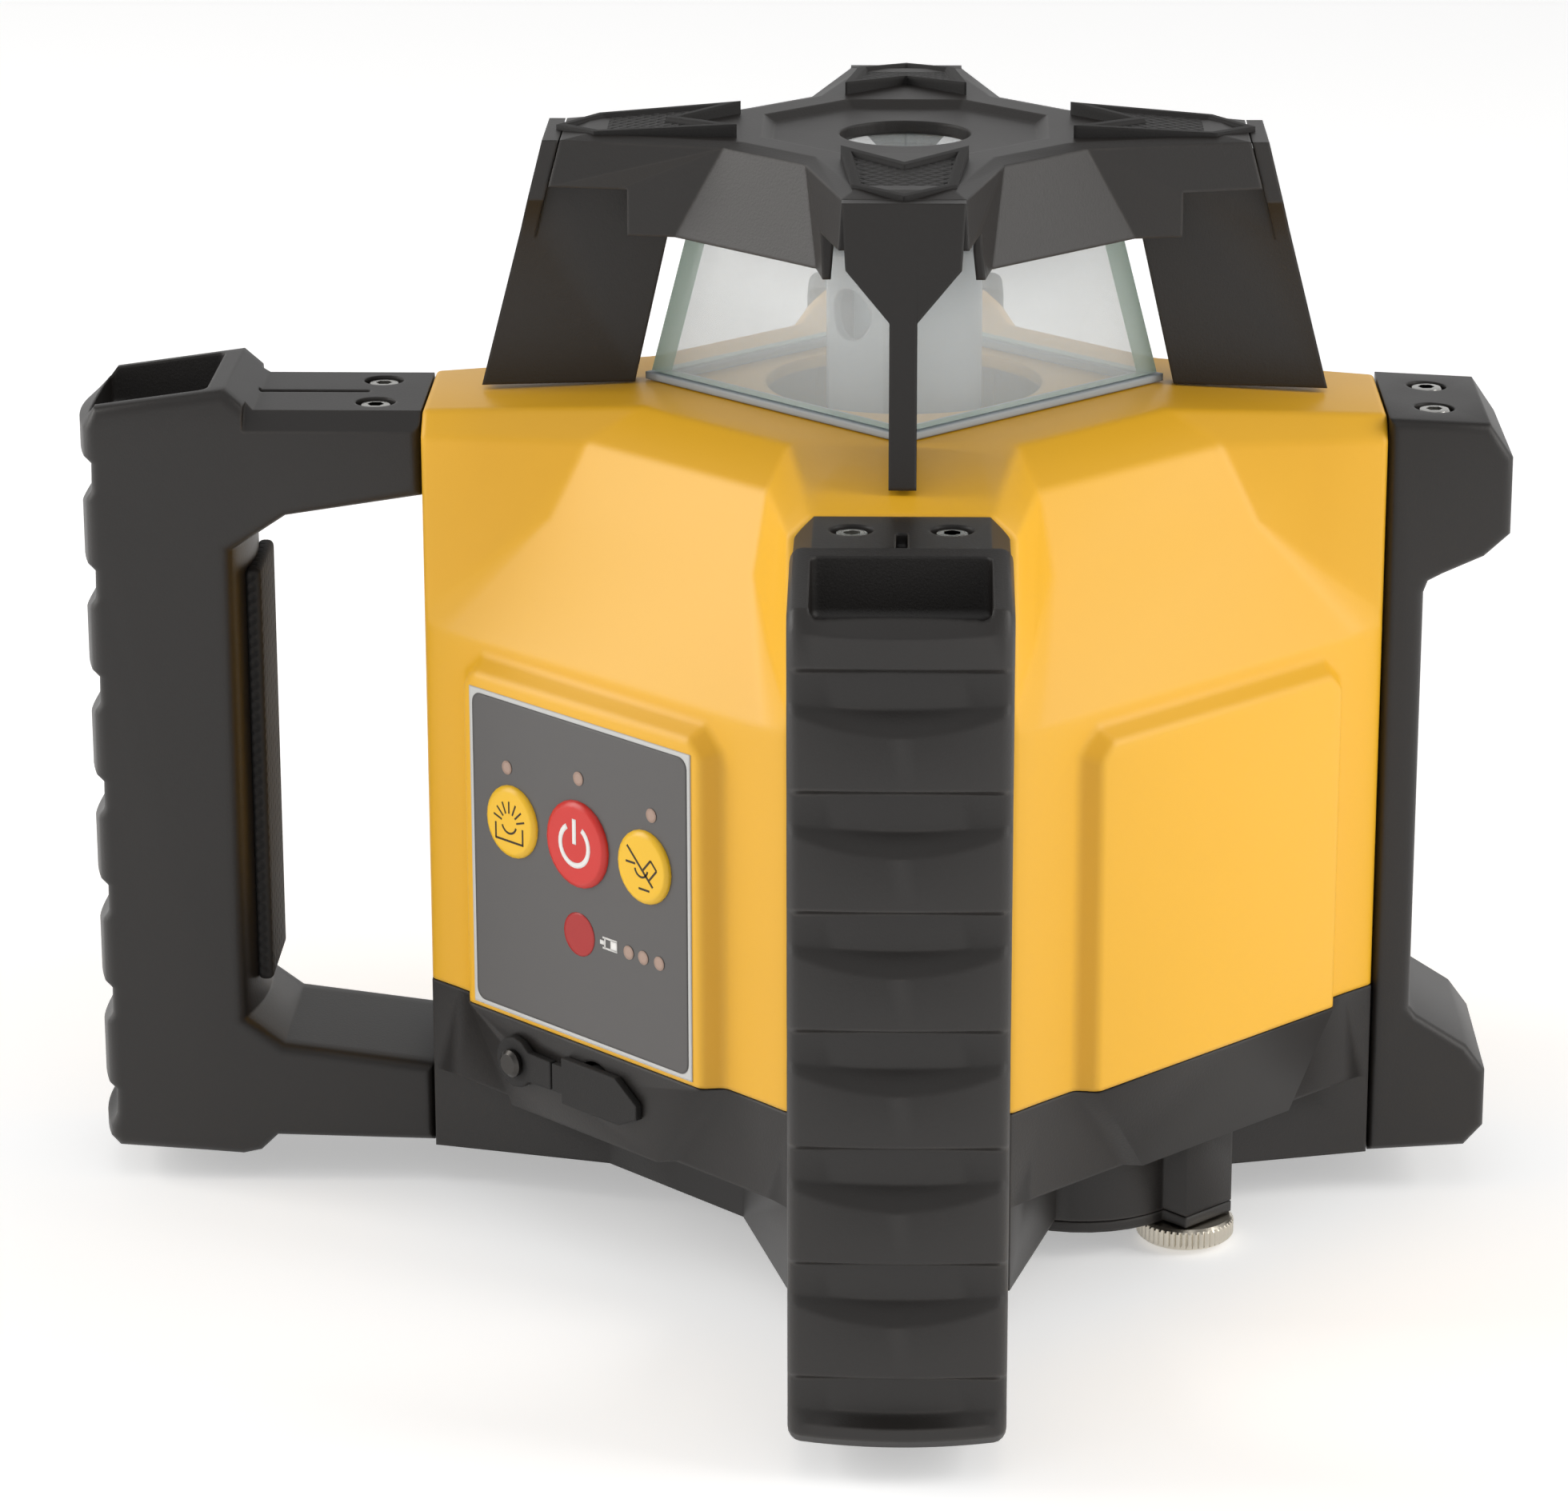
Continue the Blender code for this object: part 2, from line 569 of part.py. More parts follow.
def build_base():
    top = SPLIT_Z - GAP / 2
    base = loft("base_shell", base_sections(0, top, BASE_STEP_Z, BASE_FLOOR_Z))
    join(base, *[base_panel(quarter) for quarter in range(4)])
    hollow = loft("base_hollow", base_sections(SHELL_WALL, top + 10 * MM,
                                               BASE_STEP_Z + BASE_WALL, BASE_FLOOR_Z + BASE_WALL))
    cut(base, hollow)
    x0, x1, y0, y1 = LUG
    pod = rod("pod", POD_RADIUS, (POD_OUT, 0, POD_Z + DOOR_THICK + GAP),
              (POD_OUT, 0, BASE_STEP_Z + BASE_WALL / 2), 36)
    lug = block("pod_lug", (x0, y0, POD_Z + DOOR_THICK + GAP),
                (x1, y1, BASE_STEP_Z + BASE_WALL / 2))
    boss = rod("tripod_boss", BOSS_RADIUS, (0, 0, 0), (0, 0, BASE_FLOOR_Z + 1 * MM), 36)
    collar = rod("tripod_collar", INSERT_RADIUS + 4 * MM, (0, 0, BASE_FLOOR_Z - 2 * MM),
                 (0, 0, 24 * MM), 32)
    join(base, pod, lug, boss, collar)
    bore = rod("bay_bore", BAY_RADIUS + GAP, (POD_OUT, 0, -5 * MM), (POD_OUT, 0, 60 * MM), 32)
    well = rod("insert_well", INSERT_RADIUS + GAP, (0, 0, -5 * MM), (0, 0, 21 * MM), 32)
    tap = rod("thumb_bore", THUMB_SHANK + GAP, (*THUMB_AT, -5 * MM),
              (*THUMB_AT, BASE_STEP_Z - 2 * MM), 20)
    cut(base, bore, well, tap)
    for i, (sx, sy) in enumerate(((1, 1), (-1, 1), (-1, -1), (1, -1))):
        x, y = sx * STANDOFF_AT[0], sy * STANDOFF_AT[1]
        join(base, rod(f"standoff_{i}", STANDOFF_RADIUS, (x, y, BASE_FLOOR_Z + 1 * MM),
                       (x, y, CHASSIS_Z - GAP), 12))
    show(base, "black")
    thread = ring("tripod_insert", INSERT_RADIUS, THREAD_RADIUS, 0.4 * MM, 20 * MM, 32)
    show(thread, "brass")
    return base


# ---- Battery bay, door and thumb screw -----------------------------------------------------
def build_battery():
    low = POD_Z + DOOR_THICK + 2 * GAP + 0.6 * MM
    inner = BAY_RADIUS - BAY_WALL
    sleeve = [(0, BAY_TOP_Z), (BAY_RADIUS, BAY_TOP_Z), (BAY_RADIUS, low), (inner, low),
              (inner, BAY_TOP_Z - BAY_WALL), (0, BAY_TOP_Z - BAY_WALL)]
    show(turned("battery_bay", sleeve, 28, (POD_OUT, 0, 0)), "black")
    cell_low = BAY_TOP_Z - BAY_WALL - CAP_ROOM - CELL_LONG
    for i, (sx, sy) in enumerate(((1, 1), (-1, 1), (-1, -1), (1, -1)), start=1):
        tip = 2.6 * MM
        profile = [(0, CELL_LONG), (tip, CELL_LONG), (tip, CELL_LONG - 1 * MM),
                   (CELL_RADIUS - 0.6 * MM, CELL_LONG - 1 * MM),
                   (CELL_RADIUS, CELL_LONG - 1.6 * MM), (CELL_RADIUS, 0), (0, 0)]
        place = (POD_OUT + sx * CELL_SPACING, sy * CELL_SPACING, cell_low)
        show(turned(f"battery_cell_{i}", profile, 14, place), "cell")
    slide = empty("battery_door_slide", (POD_OUT, 0, POD_Z), AXIS)
    x0, x1, y0, y1 = LUG
    door = rod("battery_door", POD_RADIUS, (0, 0, 0), (0, 0, DOOR_THICK), 36)
    tab = block("door_tab", (x0, y0, POD_Z), (x1, y1, POD_Z + DOOR_THICK))
    hole = rod("door_hole", THUMB_SHANK + GAP, (*THUMB_AT, 0), (*THUMB_AT, 20 * MM), 20)
    join(door, tab)
    cut(door, hole)
    show(door, "black", slide)
    contact_z = POD_Z + DOOR_THICK + GAP
    plate = rod("contact_plate", inner - 1 * MM, (0, 0, 0), (0, 0, 1 * MM), 32)
    plate.location = (0, 0, contact_z - POD_Z)
    show(plate, "board", slide)
    build_thumb_screw()


def build_thumb_screw():
    """The knurled screw that holds the battery door: its rim is fluted all round."""
    turn_axis = empty("thumb_screw_axis", (*THUMB_AT, 0), AXIS)
    high = POD_Z - GAP
    low = high - THUMB_TALL
    flutes = 20
    rim = []
    for i in range(2 * flutes):
        angle = math.pi * i / flutes
        radius = THUMB_RADIUS - (0.35 * MM if i % 2 else 0)
        rim.append((radius * math.cos(angle), radius * math.sin(angle)))
    lay = Matrix.Translation((0, 0, (high + low) / 2))
    knob = outline_plate("thumb_screw", rim, THUMB_TALL, lay)
    shank = rod("thumb_shank", THUMB_SHANK, (*THUMB_AT, low + 1 * MM),
                (*THUMB_AT, BASE_STEP_Z - 5 * MM), 16)
    join(knob, shank)
    show(knob, "nickel", turn_axis)


# ---- Glass and its frame -------------------------------------------------------------------
def pane_section(z, corner, gap):
    face = corner / math.sqrt(2)
    half = face - gap
    inner = face - GLASS_THICK
    return [(-half, -face, z), (half, -face, z), (inner - gap, -inner, z), (gap - inner, -inner, z)]


def build_glass():
    foot_z = SHOULDER_Z + CROWN_RISE + GAP
    outer, inner = GLASS_CORNER / math.sqrt(2) + 0.8 * MM, GLASS_CORNER / math.sqrt(2) - FRAME_SIDE
    frame = block("window_frame", (-outer, -outer, foot_z), (outer, outer, foot_z + FRAME_TALL))
    cut(frame, block("frame_opening", (-inner, -inner, foot_z - 5 * MM),
                     (inner, inner, foot_z + 10 * MM)))
    show(frame, "frame_grey")
    low = foot_z + FRAME_TALL + GAP
    top_corner = GLASS_CORNER - GLASS_LEAN * (GLASS_TOP_Z - low)
    pane = loft("window_front", [pane_section(low, GLASS_CORNER, GAP),
                                 pane_section(GLASS_TOP_Z, top_corner, GAP)])
    show(pane, "glass")
    for quarter, side in enumerate(("right", "rear", "left"), start=1):
        copy = bpy.data.objects.new(f"window_{side}", pane.data.copy())
        copy.rotation_euler = (0, 0, math.radians(90 * quarter))
        show(copy, "glass")


# ---- Posts, cap and its pads ---------------------------------------------------------------
ARMS = {"front_right": -45, "rear_right": 45, "rear_left": 135, "front_left": -135}
POST_TOP_Z = CAP_RIM_Z - 4.2 * MM
SLOPE = (POST_FOOT[1] - CAP_ARM) / (CAP_RIM_Z - SHOULDER_Z - 1.2 * MM)


def edge_at(z):
    """The posts' outer edge leans in from the housing to the cap's rim."""
    return CAP_ARM + SLOPE * (CAP_RIM_Z - z)


def on_arm(obj, arm):
    obj.rotation_euler = (0, 0, math.radians(ARMS[arm]))
    return obj


def build_posts():
    foot = SHOULDER_Z + CROWN_RISE + GAP
    taper = [(POST_FLANGE_HALF, CAP_RIM_Z), (POST_FLANGE_HALF - 0.8 * MM, CAP_RIM_Z - 12.6 * MM),
             (POST_HALF, CAP_RIM_Z - 22.5 * MM)]
    face = taper + [(-across, z) for across, z in reversed(taper)]
    for arm in ARMS:
        blade = [(POST_FOOT[0], foot), (POST_FOOT[1], foot - 0.9 * MM),
                 (edge_at(POST_TOP_Z), POST_TOP_Z), (POST_TOP_INNER, POST_TOP_Z)]
        post = outline_plate(f"post_{arm}", blade, 2 * POST_HALF, STAND_ALONG_X)
        outer = [(edge_at(z), across, z) for across, z in face]
        inner = [(edge_at(z) - POST_FLANGE_THICK, across, z) for across, z in face]
        flange = loft(f"post_flange_{arm}", [outer, inner])
        join(post, on_arm(flange, arm))
        show(on_arm(post, arm), "black")


def cap_section(waist, arm, half, z, inset=0.0, arm_z=None):
    arm_z = z if arm_z is None else arm_z
    return round_four([(waist[0] - inset, waist[1] - inset / 2, z), (arm, half, arm_z)])


def build_cap():
    rim, skirt = CAP_RIM_Z, CAP_RIM_Z - CAP_SKIRT_DROP
    reach = POST_FLANGE_THICK + GAP
    crown = (CAP_WAIST[0] - 4 * MM, CAP_WAIST[1] - 2 * MM)
    cap = loft("cap", [
        cap_section(crown, CAP_ARM - 9 * MM, POST_FLANGE_HALF - 2.5 * MM, rim + 0.9 * MM),
        cap_section(CAP_WAIST, edge_at(rim) - reach, POST_FLANGE_HALF, rim),
        cap_section(CAP_SKIRT, edge_at(skirt) - reach, POST_FLANGE_HALF + 1.2 * MM, skirt)])
    roof = rim - 3.4 * MM
    hollow = loft("cap_hollow", [
        cap_section(CAP_WAIST, edge_at(roof) - reach + 3 * MM, POST_FLANGE_HALF - CAP_WALL,
                    roof, CAP_WALL),
        cap_section(CAP_SKIRT, edge_at(skirt) - reach + 3 * MM,
                    POST_FLANGE_HALF + 1.2 * MM - CAP_WALL, skirt - 1 * MM, CAP_WALL)])
    hole = rod("cap_hole", CAP_HOLE, (0, 0, roof - 20 * MM), (0, 0, rim + 20 * MM), 40)
    cut(cap, hollow, hole)
    notch_top = rim - CAP_NOTCH_DROP
    for i in range(2):
        notch = block(f"cap_notch_{i}", (-90 * MM, -30 * MM, skirt - 5 * MM),
                      (90 * MM, 30 * MM, notch_top))
        keep = 57 * MM
        middle = block(f"cap_keep_{i}", (-keep, -40 * MM, skirt - 9 * MM),
                       (keep, 40 * MM, notch_top + 5 * MM))
        boolean(notch, tool(middle), "DIFFERENCE")
        for piece in (notch, middle):
            piece.rotation_euler = (0, 0, math.radians(45 + 90 * i))
        cut(cap, notch)
    show(cap, "black")
    lens = rod("plumb_window", CAP_HOLE + 2 * MM, (0, 0, roof - GAP - 2 * MM), (0, 0, roof - GAP), 32)
    show(lens, "glass")


def build_pads():
    """Rubber chevrons on the cap's arms, on which the level rests when turned over."""
    outline = [(45 * MM, 0), (32 * MM, 12 * MM), (60 * MM, 9.4 * MM), (69 * MM, 0),
               (60 * MM, -9.4 * MM), (32 * MM, -12 * MM)]
    low = CAP_RIM_Z + 0.9 * MM + GAP
    lay = Matrix.Translation((0, 0, low + PAD_THICK / 2))
    for arm in ARMS:
        pad = outline_plate(f"cap_pad_{arm}", outline, PAD_THICK, lay)
        show(on_arm(pad, arm), "rubber")


# ---- Handles -------------------------------------------------------------------------------
def drop(z):
    return SHOULDER_Z - z


def above_floor(rise):
    return BASE_FLOOR_Z + rise


# The edge of one finger groove: how far along the grip from its middle, and how deep.
GROOVE = ((5 * MM, 0), (1.4 * MM, GROOVE_DEEP), (-1 * MM, GROOVE_DEEP), (-8 * MM, 0))


def groove_run():
    """The grip's outer edge from top to foot, with its finger grooves."""
    first, last = drop(GROOVE_FIRST), above_floor(GROOVE_LAST)
    points = []
    for i in range(GROOVES):
        middle = first + (last - first) * i / (GROOVES - 1)
        points += [(HANDLE_REACH - depth, middle + along) for along, depth in GROOVE]
    return points


def handle_outline():
    joint = ARM_REACH + GAP
    upper = drop(UPPER_ARM_UNDER)
    lower = above_floor(LOWER_ARM_OVER)
    foot = above_floor(-HANDLE_FOOT)
    return [
        (joint, drop(0.4 * MM)), (GRIP_INNER - 2 * MM, drop(0.4 * MM)),
        (GRIP_INNER + 3.6 * MM, drop(-4.5 * MM)), (HANDLE_REACH - 4 * MM, drop(-0.3 * MM)),
        (HANDLE_REACH, drop(3 * MM)),
        *groove_run(),
        (HANDLE_REACH - 3 * MM, foot + 5.4 * MM), (GRIP_INNER + 12.6 * MM, foot + 1 * MM),
        (GRIP_INNER + 4.6 * MM, foot), (GRIP_INNER + 0.6 * MM, foot + 0.9 * MM),
        (GRIP_INNER - 3 * MM, foot + 4.4 * MM), (joint, above_floor(0)),
        (joint, lower - 2.2 * MM), (GRIP_INNER - 5 * MM, lower + 2 * MM),
        (GRIP_INNER, lower + 8 * MM), (GRIP_INNER, upper - 10 * MM),
        (GRIP_INNER - 8.5 * MM, upper - 2.5 * MM), (joint, upper + 2 * MM),
    ]


def seat_cuts(name, length):
    """Counterbores and shank holes for an arm's two fixing screws."""
    top = drop(-2 * MM)
    pieces = []
    for side in (-1, 1):
        y = side * SCREW_APART / 2
        wide = rod(f"{name}_seat_{side + 1}", SCREW_SEAT, (SCREW_RADIUS, y, top),
                   (SCREW_RADIUS, y, drop(SCREW_SEAT_DEEP)), 20)
        thin = rod(f"{name}_shank_{side + 1}", SCREW_SHANK, (SCREW_RADIUS, y, top),
                   (SCREW_RADIUS, y, drop(length)), 12)
        pieces += [wide, thin]
    return pieces


def build_handle(arm):
    handle = outline_plate(f"handle_{arm}", handle_outline(), 2 * HANDLE_HALF, STAND_ALONG_X)
    soften(handle, 3 * MM, 1, 75)
    tray_half = HANDLE_HALF - 4.3 * MM
    tray = block(f"handle_tray_{arm}", (GRIP_INNER + 8.6 * MM, -tray_half, drop(7 * MM)),
                 (HANDLE_REACH - 7 * MM, tray_half, drop(-20 * MM)))
    cutters = [tray, *seat_cuts(f"handle_{arm}", SCREW_DEEP)]
    pad_top, pad_low = drop(36 * MM), above_floor(33.8 * MM)
    seat = block(f"handle_pad_seat_{arm}", (GRIP_INNER - 5 * MM, -GRIP_PAD_HALF - GAP, pad_low - GAP),
                 (GRIP_INNER + 0.8 * MM, GRIP_PAD_HALF + GAP, pad_top + GAP))
    for cutter in cutters + [seat]:
        cut(handle, on_arm(cutter, arm))
    show(on_arm(handle, arm), "black")
    pad = block(f"grip_pad_{arm}", (GRIP_INNER - GRIP_PAD_THICK, -GRIP_PAD_HALF, pad_low),
                (GRIP_INNER + 0.8 * MM - GAP, GRIP_PAD_HALF, pad_top))
    soften(pad, 0.8 * MM, 1, 60)
    show(on_arm(pad, arm), "rubber")


def bumper_outline():
    joint = ARM_REACH + GAP
    strip = ARM_REACH + BUMPER_WALL
    return [
        (joint, drop(0.2 * MM)), (ARM_REACH + 15 * MM, drop(0.2 * MM)),
        (ARM_REACH + 19 * MM, drop(-3.4 * MM)), (ARM_REACH + 22 * MM, drop(-2.6 * MM)),
        (BUMPER_REACH - 0.6 * MM, drop(9 * MM)), (BUMPER_REACH, drop(12 * MM)),
        (BUMPER_REACH, drop(27 * MM)), (BUMPER_REACH - 4.6 * MM, drop(31.5 * MM)),
        (strip + 4.4 * MM, drop(36 * MM)), (strip, drop(41 * MM)),
        (strip, above_floor(40.8 * MM)), (strip + 9.4 * MM, above_floor(35.8 * MM)),
        (BUMPER_REACH - 3.6 * MM, above_floor(29.8 * MM)), (BUMPER_REACH, above_floor(20.8 * MM)),
        (BUMPER_REACH, above_floor(3.8 * MM)), (BUMPER_REACH - 3.6 * MM, above_floor(-1.2 * MM)),
        (joint, above_floor(0)),
    ]


def build_bumper(arm):
    bumper = outline_plate(f"bumper_{arm}", bumper_outline(), 2 * ARM_HALF, STAND_ALONG_X)
    soften(bumper, 2.5 * MM, 1, 75)
    for cutter in seat_cuts(f"bumper_{arm}", SCREW_DEEP):
        cut(bumper, on_arm(cutter, arm))
    show(on_arm(bumper, arm), "black")


# ---- Charging socket and flap --------------------------------------------------------------
def build_charging(base):
    z = FLAP_Z
    face = PANEL_FACE
    skin = face + GAP
    outside = skin + FLAP_THICK
    start, shoulder, tip = FLAP_SPAN
    half = FLAP_HALF_TALL
    wide = 5.5 * MM
    barrel = rod("socket_well", SOCKET_RADIUS + GAP, (SOCKET_X, -face - 5 * MM, z),
                 (SOCKET_X, -(BODY_FACE - 12 * MM), z), 28)
    cut(base, barrel)
    socket_front = face - 3.2 * MM
    profile = [(0, socket_front - 11 * MM), (SOCKET_BORE, socket_front - 11 * MM),
               (SOCKET_BORE, socket_front), (SOCKET_RADIUS, socket_front),
               (SOCKET_RADIUS, socket_front - 14 * MM), (0, socket_front - 14 * MM)]
    show(turned("charging_socket", profile, 24, (SOCKET_X, 0, z), (math.radians(90), 0, 0)), "steel")
    hinge_x = start - 3.2 * MM
    hinge = empty("socket_flap_hinge", (hinge_x, -outside, z), AXIS)
    outline = [(hinge_x + GAP, -3 * MM), (start, -3 * MM), (start, -half), (shoulder + 1 * MM, -half),
               (tip, -2.5 * MM), (tip, 0.6 * MM), (shoulder, half), (start, half),
               (start, 3 * MM), (hinge_x + GAP, 3 * MM)]
    lay = Matrix.Translation((-hinge_x, FLAP_THICK / 2, 0)) @ STAND_ALONG_X
    flap = outline_plate("socket_flap", outline, FLAP_THICK, lay)
    plug = rod("flap_plug", SOCKET_RADIUS - 0.8 * MM, (SOCKET_X, -(skin + FLAP_THICK / 2), z),
               (SOCKET_X, -(face - 2.2 * MM), z), 24)
    join(flap, plug)
    show(flap, "rubber", hinge)
    eye = []
    for i in range(11):
        angle = math.radians(36 + 28.8 * i)
        eye.append((FLAP_SCREW_X + wide * math.cos(angle), wide * math.sin(angle)))
    eye += [(hinge_x - GAP, -3 * MM), (hinge_x - GAP, 3 * MM)]
    lay = Matrix.Translation((0, -(skin + FLAP_THICK / 2), z)) @ STAND_ALONG_X
    strap = outline_plate("flap_strap", eye, FLAP_THICK, lay)
    shank = rod("flap_screw_hole", 1.5 * MM, (FLAP_SCREW_X, -face - 10 * MM, z),
                (FLAP_SCREW_X, -(face - 4 * MM), z), 16)
    cut(strap, shank)
    boolean(base, shank, "DIFFERENCE")
    show(strap, "rubber")
    head = outside + GAP
    profile = [(0, head + 1.6 * MM), (2.2 * MM, head + 1.6 * MM), (3 * MM, head + 0.9 * MM),
               (3 * MM, head), (1.2 * MM, head), (1.2 * MM, face - 3.5 * MM), (0, face - 3.5 * MM)]
    show(turned("flap_screw", profile, 16, (FLAP_SCREW_X, 0, z), (math.radians(90), 0, 0)), "steel")


# ---- Levelling gimbal ----------------------------------------------------------------------
POST_X = 36 * MM
CHASSIS_HALF = (53 * MM, 53 * MM)
CHASSIS_OPEN = (29 * MM, 42 * MM)
CHASSIS_THICK = 3 * MM
FORK_HALF = 3.5 * MM
LEVER_Y = 12 * MM              # the carrier's lever passes beside the chassis post
LEVER_HALF = 3 * MM
CARRIER_LEVER_Z = PIVOT_Z - 12.5 * MM
CARRIER_HALF_TALL = 20 * MM
LASER_RADIUS = 8 * MM
LASER_TOP_Z = PIVOT_Z - 40.5 * MM
# Each levelling screw: its place, the height of its nut, and the way to its lever.
LEAD_SCREWS = {
    "x": ((0, -LEVEL_ARM - 5 * MM), PIVOT_Z, 0),
    "y": ((-LEVEL_ARM - 5 * MM, LEVER_Y), CARRIER_LEVER_Z, -90),
}


def build_chassis():
    """The fixed frame on the base's standoffs, whose two posts hold the gimbal's pins."""
    hx, hy = CHASSIS_HALF
    ox, oy = CHASSIS_OPEN
    chassis = block("chassis", (-hx, -hy, CHASSIS_Z), (hx, hy, CHASSIS_Z + CHASSIS_THICK))
    cut(chassis, block("chassis_opening", (-ox, -oy, CHASSIS_Z - 5 * MM),
                       (ox, oy, CHASSIS_Z + 10 * MM)))
    for side in (-1, 1):
        low, high = sorted((side * (POST_X - 3 * MM), side * (POST_X + 4 * MM)))
        post = block(f"chassis_post_{side + 1}", (low, -FORK_HALF, CHASSIS_Z + 1 * MM),
                     (high, FORK_HALF, PIVOT_Z + 5 * MM))
        join(chassis, post)
    cut(chassis, rod("chassis_pin_bore", PIN_RADIUS + PIN_FIT, (-80 * MM, 0, PIVOT_Z),
                     (80 * MM, 0, PIVOT_Z), 16))
    for name, ((x, y), _, _) in LEAD_SCREWS.items():
        cut(chassis, rod(f"lead_hole_{name}", 2.2 * MM, (x, y, CHASSIS_Z - 5 * MM),
                         (x, y, CHASSIS_Z + 10 * MM), 12))
    show(chassis, "alloy")


def build_gimbal():
    tilt_x = empty("gimbal_ring_axis", (0, 0, PIVOT_Z), AXIS)
    outer = ring("gimbal_ring", RING_OUTER, RING_INNER, -RING_TALL / 2, RING_TALL / 2, 24)
    for side in (-1, 1):
        pin = rod(f"ring_pin_{side + 1}", PIN_RADIUS, (side * (RING_OUTER - 2 * MM), 0, PIVOT_Z),
                  (side * (POST_X + 4 * MM), 0, PIVOT_Z), 16)
        join(outer, pin)
        bore = rod(f"ring_bore_{side + 1}", PIN_RADIUS + PIN_FIT, (0, side * 15 * MM, PIVOT_Z),
                   (0, side * (RING_OUTER + 5 * MM), PIVOT_Z), 16)
        cut(outer, bore)
    lever = block("ring_lever", (-LEVER_HALF, -LEVEL_ARM, PIVOT_Z - 1.5 * MM),
                  (LEVER_HALF, -RING_OUTER + 1.5 * MM, PIVOT_Z + 1.5 * MM))
    join(outer, lever)
    cut(outer, rod("ring_lever_clear", PIN_RADIUS + PIN_FIT, (0, -15 * MM, PIVOT_Z),
                   (0, -RING_OUTER + 1.5 * MM, PIVOT_Z), 16))
    show(outer, "alloy", tilt_x)
    tilt_y = empty("carrier_axis", (0, 0, PIVOT_Z), AXIS)
    build_carrier(tilt_y)


def build_carrier(tilt_y):
    """The carrier inside the ring: it holds the spindle's bearings, the laser and the motor."""
    low, high = -CARRIER_HALF_TALL, CARRIER_HALF_TALL
    clamp_z = LASER_TOP_Z - 5.5 * MM
    seat = 8 * MM
    wall = BEARING_OUTER + GAP
    neck = SPINDLE_RADIUS + 1.6 * MM
    profile = [(CARRIER_RADIUS, high), (CARRIER_RADIUS, low), (wall, low), (wall, low + seat),
               (neck, low + seat), (neck, high - seat), (wall, high - seat), (wall, high)]
    carrier = turned("gimbal_carrier", profile, 24)
    for side in (-1, 1):
        pin = rod(f"carrier_pin_{side + 1}", PIN_RADIUS,
                  (0, side * (CARRIER_RADIUS - 1.5 * MM), PIVOT_Z),
                  (0, side * (RING_OUTER - 1.6 * MM), PIVOT_Z), 16)
        join(carrier, pin)
    shelf = block("carrier_shelf", (-9 * MM, 15 * MM, PIVOT_Z + low),
                  (9 * MM, MOTOR_OFFSET + 9 * MM, PIVOT_Z + low + 2.6 * MM))
    lever = block("carrier_lever",
                  (-LEVEL_ARM, LEVER_Y - LEVER_HALF, CARRIER_LEVER_Z - 1.5 * MM),
                  (-12 * MM, LEVER_Y + LEVER_HALF, CARRIER_LEVER_Z + 1.5 * MM))
    bracket = block("laser_bracket", (-3 * MM, -CARRIER_RADIUS + 1 * MM, clamp_z),
                    (3 * MM, -15 * MM, PIVOT_Z + low + 3 * MM))
    clamp = ring("laser_clamp", CARRIER_RADIUS - 1.4 * MM, LASER_RADIUS + GAP, clamp_z,
                 clamp_z + 4 * MM, 20)
    join(carrier, shelf, lever, bracket, clamp)
    cut(carrier, rod("motor_shaft_hole", 2.4 * MM, (0, MOTOR_OFFSET, PIVOT_Z + low - 20 * MM),
                     (0, MOTOR_OFFSET, PIVOT_Z + low + 10 * MM), 12))
    show(carrier, "alloy", tilt_y)
    for name, foot_z in (("bearing_lower", low + GAP), ("bearing_upper", high - seat + GAP)):
        race = ring(name, BEARING_OUTER, SPINDLE_RADIUS + GAP, foot_z, foot_z + 6.8 * MM, 24)
        show(race, "steel", tilt_y)
    top = LASER_TOP_Z - PIVOT_Z
    tail = LASER_RADIUS - 3.5 * MM
    laser = [(0, top), (LASER_RADIUS, top), (LASER_RADIUS, top - 15.5 * MM),
             (tail, top - 19.5 * MM), (0, top - 19.5 * MM)]
    show(turned("laser_module", laser, 16), "brass", tilt_y)
    build_drive(tilt_y, low)


def build_drive(tilt_y, low):
    motor_high = PIVOT_Z + low + 2.6 * MM + GAP
    motor = rod("head_motor", MOTOR_RADIUS, (0, 0, 0), (0, 0, MOTOR_LONG), 16)
    motor.location = (0, MOTOR_OFFSET, motor_high - PIVOT_Z)
    show(motor, "steel", tilt_y)
    spin = empty("head_motor_axis", (0, MOTOR_OFFSET, PULLEY_Z), AXIS)
    lip = 0.9 * MM
    wheel = pulley_profile(MOTOR_PULLEY, lip)
    shaft_top = motor_high - GAP - PULLEY_Z
    profile = [(0, shaft_top), (1.8 * MM, shaft_top), (1.8 * MM, PULLEY_TALL)] + wheel + [(0, 0)]
    show(turned("motor_pulley", profile, 14), "brass", spin)
    build_belt(tilt_y)
    build_head()


def pulley_profile(radius, lip):
    return [(radius + lip, PULLEY_TALL), (radius + lip, PULLEY_TALL - 0.8 * MM),
            (radius, PULLEY_TALL - 0.8 * MM), (radius, 0.8 * MM), (radius + lip, 0.8 * MM),
            (radius + lip, 0)]


def belt_outline(gap):
    """The loop round both pulleys, a distance outside their grooves."""
    big, small = HEAD_PULLEY + gap, MOTOR_PULLEY + gap
    lean = math.asin((big - small) / MOTOR_OFFSET)
    points = []
    for i in range(17):
        angle = math.pi - lean + (math.pi + 2 * lean) * i / 16
        points.append((big * math.cos(angle), big * math.sin(angle)))
    for i in range(11):
        angle = lean + (math.pi - 2 * lean) * i / 10
        points.append((small * math.cos(angle), MOTOR_OFFSET + small * math.sin(angle)))
    return points


